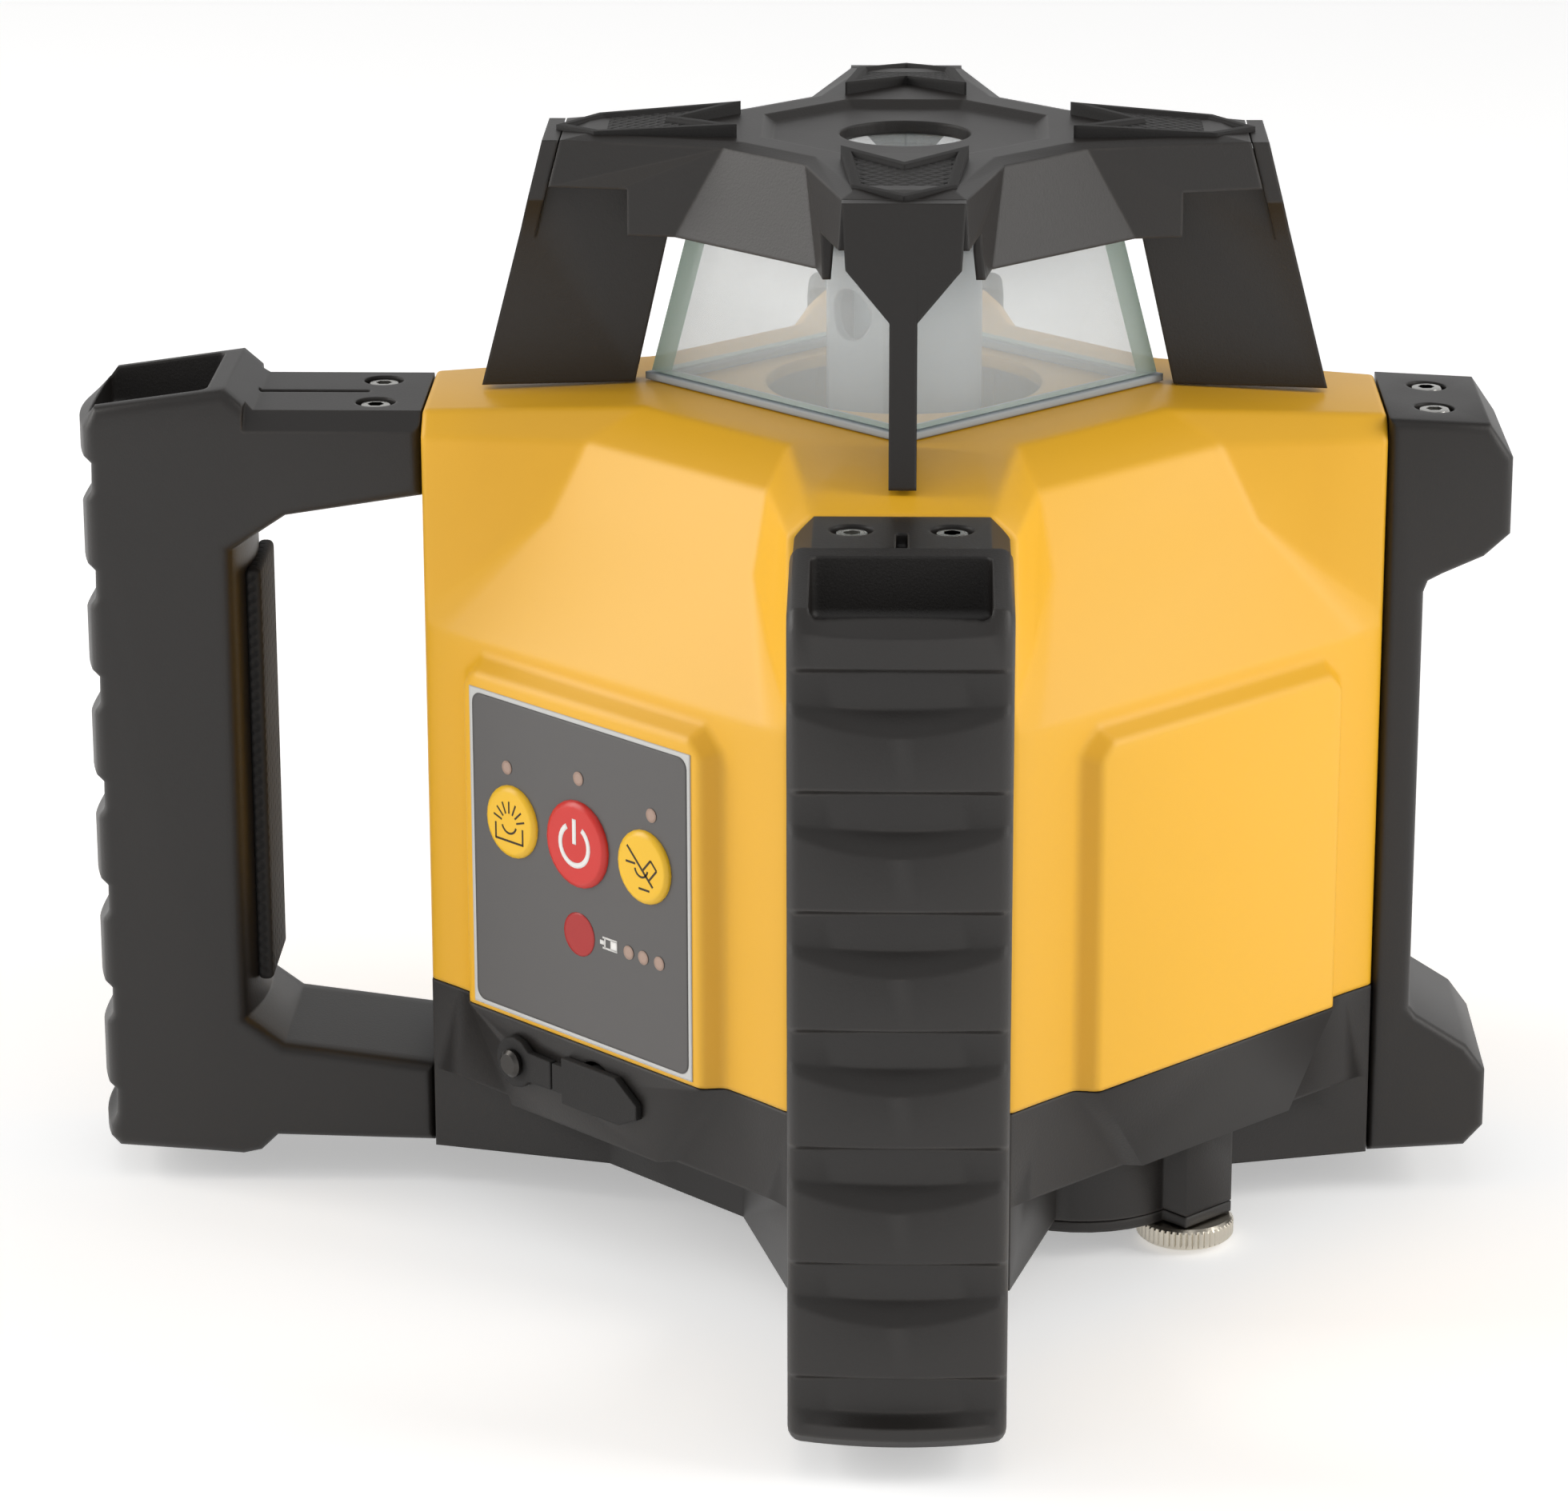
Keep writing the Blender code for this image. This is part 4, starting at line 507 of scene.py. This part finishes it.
def side_loft(outline_at, half, rounding, shares):
    """A solid over side views at stations across it, the edges of its flanks rounded."""
    stations = []
    for step in range(5):
        angle = math.radians(22.5 * step)
        stations.append((half - rounding * (1 - math.cos(angle)), rounding * (1 - math.sin(angle))))
    stations += [(half * share, 0) for share in shares]
    rings = []
    for across, inset in stations + [(0, 0)] + [(-t, inset) for t, inset in reversed(stations)]:
        outline, ways = outline_at(across / half)
        rings.append([(r + way.x * inset, across, z + way.y * inset)
                      for (r, z), way in zip(outline, ways)])
    bm = bmesh.new()
    loft(bm, rings, cap_first=True, cap_last=True)
    return bm


def handle_outline(share):
    """A handle's side view at a share of its half width, and which way each corner shrinks."""
    out = grip_out - grip_crown * share ** 2
    floor_out = groove_floor + 0.3 * share ** 2
    hand = 137.4 + 3.6 * share ** 2
    points = [(100.3, -0.4), (135.4, -0.4), (141, 4.5), (168.2, 0.6), (out, -3.6)]
    for groove in range(groove_count):
        middle = groove_first - groove_pitch * groove
        rows = groove_profile if groove < groove_count - 1 else groove_profile[:5]
        for depth, up, sag in rows:
            points.append((out - depth * (out - floor_out), middle + up - sag * (1 - share ** 2)))
    grooved = len(points)
    points += [(out, -159.2), (out, -161.6), (out - 1.8, -163.6), (150, -164.8), (142, -165.4),
               (138, -164.5), (134.4, -161), (100.3, -161.8), (100.3, -144.2), (132.4, -140),
               (hand, -134), (hand, -30), (128.9, -22.5), (100.3, -18)]
    ways = inward(points)
    for i in range(5, grooved):
        ways[i] = Vector((-1, 0))
    return points, ways


def wedge_mesh(side, degrees):
    """A three-cornered bar that takes the top corner off a handle's arm."""
    bm = bmesh.new()
    rings = [[(out, side * 15.6, 1.0), (out, side * 23.0, 1.0), (out, side * 23.0, -6.4)]
             for out in (99.0, 137.2)]
    loft(bm, rings, cap_first=True, cap_last=True)
    stand_on_shoulder(bm, degrees)
    return mesh_from(bm, "wedge")


for side in ("front_left", "front_right"):
    around = arm_turns[side]
    grip = side_loft(handle_outline, grip_half, 2.4, (0.76, 0.66, 0.54, 0.42, 0.28, 0.14))
    stand_on_shoulder(grip, around)
    handle = add_piece(mesh_from(grip, f"handle_{side}_finish", 40), "body", "black_plastic",
                       black_plastic)
    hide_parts(f"handle_{side}")
    carve(handle, wedge_mesh(1, around), wedge_mesh(-1, around),
          box_mesh((144.8, -16.8, -8), (169.6, 16.8, 12), 1.8, around),
          box_mesh((112.5, -1.1, -3), (136, 1.1, 3), 0.4, around),
          *counterbores(-3.9, around))

# ---- Grip pads -----------------------------------------------------------------------------
# A soft rubber pad over-moulded on the hand side of each grip, covered in small dimples and
# bonded into a shallow seat.
black_rubber = moulded("black_rubber", "1A1817", "3B3836", 0.72, grain=2600.0, bump=0.4,
                       drift=0.12, wear=0.15)


def dimple(material, scale, depth):
    """Presses a field of small round dimples into a moulded material."""
    tree = material.node_tree
    place = tree.nodes.new("ShaderNodeTexCoord")
    cells = add_node(tree, "ShaderNodeTexVoronoi", Scale=scale, Randomness=0.0)
    tree.links.new(place.outputs["Object"], cells.inputs["Vector"])
    cup = add_node(tree, "ShaderNodeMapRange", From_Min=0.1, From_Max=0.45)
    tree.links.new(cells.outputs["Distance"], cup.inputs["Value"])
    pressed = add_node(tree, "ShaderNodeBump", Strength=0.8, Distance=depth * MM)
    tree.links.new(cup.outputs["Result"], pressed.inputs["Height"])
    tree.links.new(tree.nodes["Bump"].outputs["Normal"], pressed.inputs["Normal"])
    tree.links.new(pressed.outputs["Normal"], tree.nodes["Principled BSDF"].inputs["Normal"])


dimpled_rubber = moulded("dimpled_rubber", "1A1817", "3B3836", 0.75, grain=2600.0, bump=0.3,
                         drift=0.12, wear=0.1)
dimple(dimpled_rubber, 420.0, 0.5)
for side in ("front_left", "front_right"):
    cushion = bmesh.new()
    bmesh.ops.create_cube(cushion, size=1)
    bmesh.ops.scale(cushion, vec=(3.4 * MM, 25.0 * MM, 92.0 * MM), verts=cushion.verts)
    bmesh.ops.translate(cushion, vec=(136.9 * MM, 0, -82.0 * MM), verts=cushion.verts)
    soften(cushion, 1.3, segments=4)
    stand_on_shoulder(cushion, arm_turns[side])
    pad = add_piece(mesh_from(cushion, f"grip_pad_{side}_finish"), "body", "black_rubber",
                    dimpled_rubber)
    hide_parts(f"grip_pad_{side}")

# ---- Rear bumpers --------------------------------------------------------------------------
# Black nylon blocks on the two rear arms: a head and a foot joined by a slim strip, each held
# by two screws from above, for laying the level on its back.
bumper_points = [(100.3, -0.2), (121, -1.2), (126, -8.5), (126, -24.7), (120.7, -29.6),
                 (112.3, -33.4), (109.3, -35), (108.4, -37.5), (108.4, -129), (110, -131),
                 (120.8, -137.8), (125, -143.5), (125, -156), (121, -160.6), (100.3, -162)]
bumper_ways = inward(bumper_points)
for side in ("rear_left", "rear_right"):
    around = arm_turns[side]
    block = side_loft(lambda share: (bumper_points, bumper_ways), 22.4, 2.2, ())
    stand_on_shoulder(block, around)
    bumper = add_piece(mesh_from(block, f"bumper_{side}_finish"), "body", "black_plastic",
                       black_plastic)
    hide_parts(f"bumper_{side}")
    carve(bumper, *counterbores(-4.2, around))

# ---- Handle and bumper screws --------------------------------------------------------------
# Eight socket-head machine screws in zinc-plated steel, sunk in the counterbores on top of the
# arms; each is turned up from rings, the last of them a hexagon.
bright_steel = moulded("bright_steel", "B9B8B4", "E4E2DD", 0.26, grain=900.0, bump=0.06,
                       drift=0.12, wear=0.2, metallic=1.0, edge=0.2)


screw_seat, screw_steps = -3.2, 24


def screw_head(name, centre, seat, degrees):
    """A screw's head as rings of radius, height and number of sides, 0 for a round one."""
    rings = []
    for radius, up, sides in ((3.5, 0, 0), (3.5, 1.7, 0), (3.0, 2.3, 0), (2.1, 2.4, 0),
                              (1.55, 2.4, 6), (1.55, 0.8, 6)):
        ring = []
        for step in range(screw_steps):
            turned = step * 360 / screw_steps
            reach = radius / math.cos(math.radians(turned % 60 - 30)) if sides else radius
            ring.append((centre[0] + reach * math.cos(math.radians(turned)),
                         centre[1] + reach * math.sin(math.radians(turned)), seat + up))
        rings.append(ring)
    bm = bmesh.new()
    loft(bm, rings, cap_first=True, cap_last=True)
    stand_on_shoulder(bm, degrees)
    return add_piece(mesh_from(bm, name), "body", "steel", bright_steel)


for side, around in arm_turns.items():
    for number, across in enumerate((-screw_across, screw_across)):
        screw_head(f"screw_{side}_{number + 1}", (screw_out, across), screw_seat, around)

# ---- Guard: posts and cap ------------------------------------------------------------------
# Four blade-like posts and the cross-shaped cap over the head, all black nylon; they shield
# the windows when the level falls and are screwed together from inside.
for side in arm_turns:
    smooth_copy(f"post_{side}", "body", "black_plastic", black_plastic)
cap_top = (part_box("cap")[1].z - shoulder) / MM
cap = smooth_copy("cap", "body", "black_plastic", black_plastic, smooth=11)
well = bmesh.new()
bmesh.ops.create_cone(well, cap_ends=True, segments=8, radius1=29.5 * MM, radius2=35.0 * MM,
                      depth=3.6 * MM, matrix=Matrix.Translation((0, 0, (cap_top + 0.2) * MM))
                      @ turn(22.5))
stand_on_shoulder(well)
carve(cap, mesh_from(well, "well"))
cap.data.set_sharp_from_angle(angle=math.radians(11))

# ---- Cap pads ------------------------------------------------------------------------------
# Arrow-shaped rubber feet on the cap's four arms, each with a flat rim round a field of small
# pyramids, for standing the level upside down.
studded_rubber = moulded("studded_rubber", "1C1A19", "4B4845", 0.6, grain=2600.0, bump=0.2,
                         drift=0.1, wear=0.3)
stud_tree = studded_rubber.node_tree
stud_place = stud_tree.nodes.new("ShaderNodeTexCoord")
stud_axes = stud_tree.nodes.new("ShaderNodeSeparateXYZ")
stud_tree.links.new(stud_place.outputs["Object"], stud_axes.inputs["Vector"])
stud_low = add_node(stud_tree, "ShaderNodeMath", {"operation": "MINIMUM"})
for number, line in enumerate("XY"):
    ridge = add_node(stud_tree, "ShaderNodeMath", {"operation": "PINGPONG"})
    ridge.inputs[1].default_value = 1.1 * MM
    stud_tree.links.new(stud_axes.outputs[line], ridge.inputs[0])
    stud_tree.links.new(ridge.outputs[0], stud_low.inputs[number])
stud_bump = add_node(stud_tree, "ShaderNodeBump", Strength=1.0, Distance=1.0)
stud_tree.links.new(stud_low.outputs[0], stud_bump.inputs["Height"])
stud_tree.links.new(stud_tree.nodes["Bump"].outputs["Normal"], stud_bump.inputs["Normal"])
stud_tree.links.new(stud_bump.outputs["Normal"],
                    stud_tree.nodes["Principled BSDF"].inputs["Normal"])

for side, around in arm_turns.items():
    pad_top = (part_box(f"cap_pad_{side}")[1].z - shoulder) / MM
    arrow = [(34.5, 12.9), (64.0, 10.4), (72.4, 0), (64.0, -10.4), (34.5, -12.9), (47.0, 0)]
    foot = bmesh.new()
    outline = [(out, across, pad_top - (out - 34.5) * 0.07) for out, across in arrow]
    bmesh.ops.contextual_create(foot, geom=loop_of(foot, outline))
    sunk = bmesh.ops.extrude_face_region(foot, geom=foot.faces[:])
    bmesh.ops.translate(foot, vec=(0, 0, -3.4 * MM), verts=new_corners(sunk))
    bmesh.ops.recalc_face_normals(foot, faces=foot.faces)
    tops = [face for face in foot.faces if face.normal.z > 0.9]
    bmesh.ops.inset_region(foot, faces=tops, use_boundary=True, use_even_offset=True,
                           thickness=1.7 * MM, depth=0)
    bmesh.ops.inset_region(foot, faces=tops, use_boundary=True, use_even_offset=True,
                           thickness=0.5 * MM, depth=-0.8 * MM)
    for face in tops:
        face.material_index = 1
    stand_on_shoulder(foot, around)
    pad = add_piece(mesh_from(foot, f"cap_pad_{side}_finish"), "body", "black_rubber",
                    black_rubber, studded_rubber)
    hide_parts(f"cap_pad_{side}")

# ---- Windows -------------------------------------------------------------------------------
# Four flat panes of float glass, faintly green at their cut edges, bedded in a grey frame that
# rings the opening in the housing.
clear_glass = bpy.data.materials.new("clear_glass")
cut_glass = bpy.data.materials.new("cut_glass")
for glass, tint, cover, gloss in ((clear_glass, "EDF3F5", 0.27, 0.03),
                                  (cut_glass, "8FB79F", 0.7, 0.15)):
    glass.use_nodes = True
    glass_tree = glass.node_tree
    glass_shader = glass_tree.nodes["Principled BSDF"]
    glass_shader.inputs["Alpha"].default_value = cover
    smear = add_node(glass_tree, "ShaderNodeTexNoise", Scale=60.0, Detail=3.0)
    spot = glass_tree.nodes.new("ShaderNodeTexCoord")
    glass_tree.links.new(spot.outputs["Object"], smear.inputs["Vector"])
    haze = add_node(glass_tree, "ShaderNodeMapRange", To_Min=gloss, To_Max=gloss + 0.08)
    glass_tree.links.new(smear.outputs["Fac"], haze.inputs["Value"])
    glass_tree.links.new(haze.outputs["Result"], glass_shader.inputs["Roughness"])
    glass_shader.inputs["Base Color"].default_value = linear(tint)
for side in ("front", "right", "rear", "left"):
    pane = smooth_copy(f"window_{side}", "body", "glass", clear_glass, cut_glass)
    broad = max(face.area for face in pane.data.polygons)
    for face in pane.data.polygons:
        face.material_index = 0 if face.area > broad * 0.3 else 1
frame_grey = moulded("frame_grey", "A3ACB3", "D3D9DD", 0.42, bump=0.15, drift=0.05)
smooth_copy("window_frame", "body", "frame_grey", frame_grey)

# ---- Laser head ----------------------------------------------------------------------------
# The turning head: a pale grey moulded tube that holds the five-sided prism over the laser.
head_grey = moulded("head_grey", "AEB8C2", "D9DEE3", 0.38, bump=0.1, drift=0.04)
smooth_copy("rotor_head", "head", "head_grey", head_grey)

# ---- Keypad --------------------------------------------------------------------------------
# A printed polyester label on a grey plate: dark face with a pale border, three domed buttons,
# a red receiver window and small indicator lights. Its lettering is left out.
label_grey = moulded("label_grey", "565453", "6E6C6B", 0.34, grain=1500.0, bump=0.05, drift=0.02)
pale_border = moulded("pale_border", "C9C9C6", "DADAD7", 0.4, bump=0.05, drift=0.02)
print_white = moulded("print_white", "F2F0EC", "FFFFFF", 0.4, bump=0.02, drift=0.01)
print_dark = moulded("print_dark", "3A2A10", "4A3A20", 0.45, bump=0.02, drift=0.01)
button_red = moulded("button_red", "D02A22", "E86058", 0.3, bump=0.04, drift=0.02)
button_yellow = moulded("button_yellow", "F2BE1E", "FBDD78", 0.32, bump=0.04, drift=0.02)
window_red = moulded("window_red", "A81814", "C03830", 0.16, bump=0.02, drift=0.05)
lamp_brown = moulded("lamp_brown", "A98E7F", "C4AFA2", 0.25, bump=0.02, drift=0.05)


def stand_on_keypad(bm, x, front, z):
    """Turns a flat shape drawn in x and y so that it faces out of the keypad, then places it."""
    place = Matrix.Translation((x, front, z)) @ turn(90, "X")
    bmesh.ops.transform(bm, matrix=place, verts=bm.verts)


def thicken(bm, depth):
    """Gives a flat shape that faces forward a thickness backward."""
    back = bmesh.ops.extrude_face_region(bm, geom=bm.faces[:])
    bmesh.ops.translate(bm, vec=(0, depth, 0), verts=new_corners(back))


def label_sheet(name, margin, corner, front, depth, material):
    """A round-cornered sheet that covers the keypad plate up to a margin."""
    bm = bmesh.new()
    bmesh.ops.create_grid(bm, x_segments=1, y_segments=1, size=0.5)
    bmesh.ops.scale(bm, vec=(plate_high.x - plate_low.x - 2 * margin,
                             plate_high.z - plate_low.z - 2 * margin, 1), verts=bm.verts)
    bmesh.ops.bevel(bm, geom=bm.verts[:], offset=corner, segments=5, profile=0.5,
                    affect="VERTICES", clamp_overlap=False, material=-1)
    stand_on_keypad(bm, (plate_low.x + plate_high.x) / 2, front,
                    (plate_low.z + plate_high.z) / 2)
    thicken(bm, depth)
    return add_piece(mesh_from(bm, name), "body", "keypad_grey", material)


def arc(radius, width, start, end, steps=24):
    """A curved stroke round the origin, in millimetres and degrees."""
    angles = [math.radians(start + (end - start) * i / steps) for i in range(steps + 1)]
    outer, inner = [[(math.cos(a) * reach, math.sin(a) * reach) for a in angles]
                    for reach in (radius + width / 2, radius - width / 2)]
    return outer + inner[::-1]


def stroke(x0, y0, x1, y1, width):
    """A straight stroke between two points, in millimetres."""
    across = Vector((y0 - y1, x1 - x0)).normalized() * width / 2
    return [(x0 + across.x, y0 + across.y), (x1 + across.x, y1 + across.y),
            (x1 - across.x, y1 - across.y), (x0 - across.x, y0 - across.y)]


def printed(name, shapes, centre, front, body, material):
    """Thin printed shapes standing on the keypad or on a button."""
    bm = bmesh.new()
    for shape in shapes:
        bmesh.ops.contextual_create(bm, geom=loop_of(bm, [(x, y, 0) for x, y in shape]))
    stand_on_keypad(bm, centre[0], front, centre[1])
    thicken(bm, 0.12 * MM)
    return add_piece(mesh_from(bm, name), body, "keypad_grey", material)


def disc(x, y, radius, steps=32):
    """A round dot, in millimetres."""
    angles = [math.tau * i / steps for i in range(steps)]
    return [(x + radius * math.cos(a), y + radius * math.sin(a)) for a in angles]


smooth_copy("keypad_plate", "body", "keypad_grey", pale_border)
label_sheet("keypad_label", 1.0 * MM, 2.4 * MM, plate_low.y - 0.1 * MM, 0.3 * MM, label_grey)
power_low, power_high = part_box("power_button")
power_at = Vector(((power_low.x + power_high.x) / 2, (power_low.z + power_high.z) / 2))
for name, slot, paint, ink, shapes in (
        ("power_button", "button_red", button_red, print_white,
         [arc(4.3, 1.15, 122, 418), stroke(0, 0.2, 0, 5.6, 1.15)]),
        ("scan_button", "button_yellow", button_yellow, print_dark,
         [stroke(-4.4, -4.0, 4.4, -4.0, 0.45), stroke(-4.2, -4.0, -4.2, -0.6, 0.45),
          stroke(4.2, -4.0, 4.2, -0.6, 0.45), arc(2.3, 0.45, 200, 340, 12)]
         + [stroke(2.4 * math.cos(a), 2.4 * math.sin(a) - 0.4, 5.0 * math.cos(a),
                   5.0 * math.sin(a) - 0.4, 0.4)
            for a in (0.3, 0.72, 1.14, 1.57, 2.0, 2.42, 2.84)]),
        ("manual_button", "button_yellow", button_yellow, print_dark,
         [arc(1.9, 0.45, 190, 350, 12), stroke(-4.6, 0.6, -1.8, 0.6, 0.45),
          stroke(-4.2, 4.0, 3.4, -3.4, 0.5), stroke(0.6, -0.2, 2.8, 2.2, 0.45),
          stroke(2.8, 2.2, 4.6, 0.4, 0.45), stroke(4.6, 0.4, 2.4, -2.0, 0.45),
          stroke(-0.8, -4.4, 2.4, -4.4, 0.45)])):
    knob = smooth_copy(name, name, slot, paint)
    dome = knob.modifiers.new("edge", "BEVEL")
    dome.width = 0.45 * MM
    dome.segments = 3
    dome.angle_limit = math.radians(50)
    low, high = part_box(name)
    printed(f"{name}_symbol", shapes, ((low.x + high.x) / 2, (low.z + high.z) / 2),
            low.y - 0.05 * MM, name, ink)
smooth_copy("sensor_window", "body", "glass", window_red)
button_lamps = [(-21.9, 11.4), (0.3, 14.1), (22.3, 11.4)]
charge_lamps = [(15.1, -19.6), (19.5, -19.6), (24.3, -19.6)]
printed("indicator_lamps", [disc(x, y, 1.5, 20) for x, y in button_lamps + charge_lamps],
        power_at, plate_low.y - 0.25 * MM, "body", lamp_brown)
printed("battery_symbol",
        [stroke(7.2, -18.3, 11.6, -18.3, 0.4), stroke(7.2, -20.5, 11.6, -20.5, 0.4),
         stroke(7.9, -18.4, 7.9, -20.4, 0.4), stroke(10.6, -18.4, 10.6, -20.4, 2.0),
         stroke(6.4, -19.4, 7.6, -19.4, 0.9)],
        power_at, plate_low.y - 0.2 * MM, "body", print_white)

# ---- Charging socket and its flap ----------------------------------------------------------
# A soft rubber flap with a pull tip covers the charging socket; its strap is held to the base
# by a dark screw through a round boss.
smooth_copy("socket_flap", "socket_flap", "black_rubber", black_rubber)
smooth_copy("flap_strap", "body", "black_rubber", black_rubber)
dark_steel = moulded("dark_steel", "4A4846", "8C8985", 0.34, bump=0.08, metallic=1.0, edge=0.2)
smooth_copy("flap_screw", "body", "steel", dark_steel)
smooth_copy("charging_socket", "body", "black_plastic", black_plastic)

# ---- Thumb screw ---------------------------------------------------------------------------
# A nickel-plated brass knob with a fluted rim that clamps the battery door; turned from bar,
# its threaded shank goes up into the lug on the base.
nickel = moulded("nickel", "CFC8BA", "F1EBDD", 0.24, grain=1200.0, bump=0.05, drift=0.1,
                 wear=0.3, metallic=1.0, edge=0.15)
knob_low, knob_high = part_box("thumb_screw")
knob_at = Vector(((knob_low.x + knob_high.x) / 2, (knob_low.y + knob_high.y) / 2))
knob_radius = (knob_high.x - knob_low.x) / 2 / MM
knob_foot = knob_low.z / MM
flute_count, steps_per_flute = 48, 3
knob_rings = []
for shrink, up, flute in ((6.8, 0.35, 0), (2.2, 0.35, 0), (1.9, 0.0, 0), (0.9, 0.0, 0), (0.35, 0.5, 0),
                          (0.0, 0.9, 0.45), (0.0, 3.7, 0.45), (0.35, 4.1, 0), (0.9, 4.6, 0),
                          (6.8, 4.6, 0), (6.8, (knob_high.z - knob_low.z) / MM, 0)):
    ring = []
    for step in range(flute_count * steps_per_flute):
        radius = knob_radius - shrink - (flute if step % steps_per_flute == 0 else 0)
        angle = math.tau * step / (flute_count * steps_per_flute)
        ring.append((knob_at.x / MM + radius * math.cos(angle),
                     knob_at.y / MM + radius * math.sin(angle), knob_foot + up))
    knob_rings.append(ring)
knob_mesh = bmesh.new()
loft(knob_mesh, knob_rings, cap_first=True, cap_last=True)
knob = add_piece(mesh_from(knob_mesh, "thumb_screw_finish"), "thumb_screw", "nickel", nickel)
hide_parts("thumb_screw")

# ---- Tripod boss and works inside ----------------------------------------------------------
# The brass tripod nut, the levelling gimbal with its motors, the laser, the head's belt drive,
# the boards and the four cells: seen through the windows and when the level is opened.
brass = moulded("brass", "B08D3F", "DDBB6A", 0.32, grain=1100.0, bump=0.06, drift=0.15,
                metallic=1.0, edge=0.2)
alloy = moulded("alloy", "A3A6A8", "CDD0D2", 0.42, grain=1400.0, bump=0.15, drift=0.1,
                metallic=1.0, edge=0.3)
board_green = moulded("board_green", "1D5A34", "3E8A58", 0.35, grain=700.0, bump=0.3, drift=0.1)
board_tree = board_green.node_tree
board_place = board_tree.nodes.new("ShaderNodeTexCoord")
board_cells = add_node(board_tree, "ShaderNodeTexVoronoi",
                       {"distance": "CHEBYCHEV", "feature": "F1"}, Scale=220.0, Randomness=0.6)
board_tree.links.new(board_place.outputs["Object"], board_cells.inputs["Vector"])
board_pads = add_node(board_tree, "ShaderNodeMapRange", From_Min=0.16, From_Max=0.12)
board_tree.links.new(board_cells.outputs["Distance"], board_pads.inputs["Value"])
board_mix = add_node(board_tree, "ShaderNodeMix", {"data_type": "RGBA"})
board_mix.inputs[7].default_value = linear("C8A95A")
board_tree.links.new(board_pads.outputs["Result"], board_mix.inputs[0])
for link in list(board_tree.nodes["Principled BSDF"].inputs["Base Color"].links):
    board_tree.links.new(link.from_socket, board_mix.inputs[6])
board_tree.links.new(board_mix.outputs[2], board_tree.nodes["Principled BSDF"].inputs["Base Color"])
cell_sleeve = moulded("cell_sleeve", "2F5FA8", "6B93CF", 0.3, bump=0.05, drift=0.06)
prism_glass = moulded("prism_glass", "C9DCE6", "FFFFFF", 0.05, bump=0.0, drift=0.02)
for name, paint in (
        ("tripod_insert", brass), ("levelling_nut_x", brass), ("levelling_nut_y", brass),
        ("chassis", alloy), ("gimbal_ring", alloy), ("gimbal_carrier", alloy),
        ("head_motor", dark_steel), ("levelling_motor_x", dark_steel),
        ("levelling_motor_y", dark_steel), ("laser_module", brass), ("bearing_lower", bright_steel),
        ("bearing_upper", bright_steel), ("motor_pulley", alloy), ("drive_belt", black_rubber),
        ("main_board", board_green), ("keypad_board", board_green),
        ("contact_plate", bright_steel), ("battery_bay", black_plastic),
        ("battery_cell_1", cell_sleeve), ("battery_cell_2", cell_sleeve),
        ("battery_cell_3", cell_sleeve), ("battery_cell_4", cell_sleeve),
        ("pentaprism", prism_glass), ("plumb_window", clear_glass)):
    part_mesh = bpy.data.objects[name].data
    part_mesh.materials.clear()
    part_mesh.materials.append(paint)
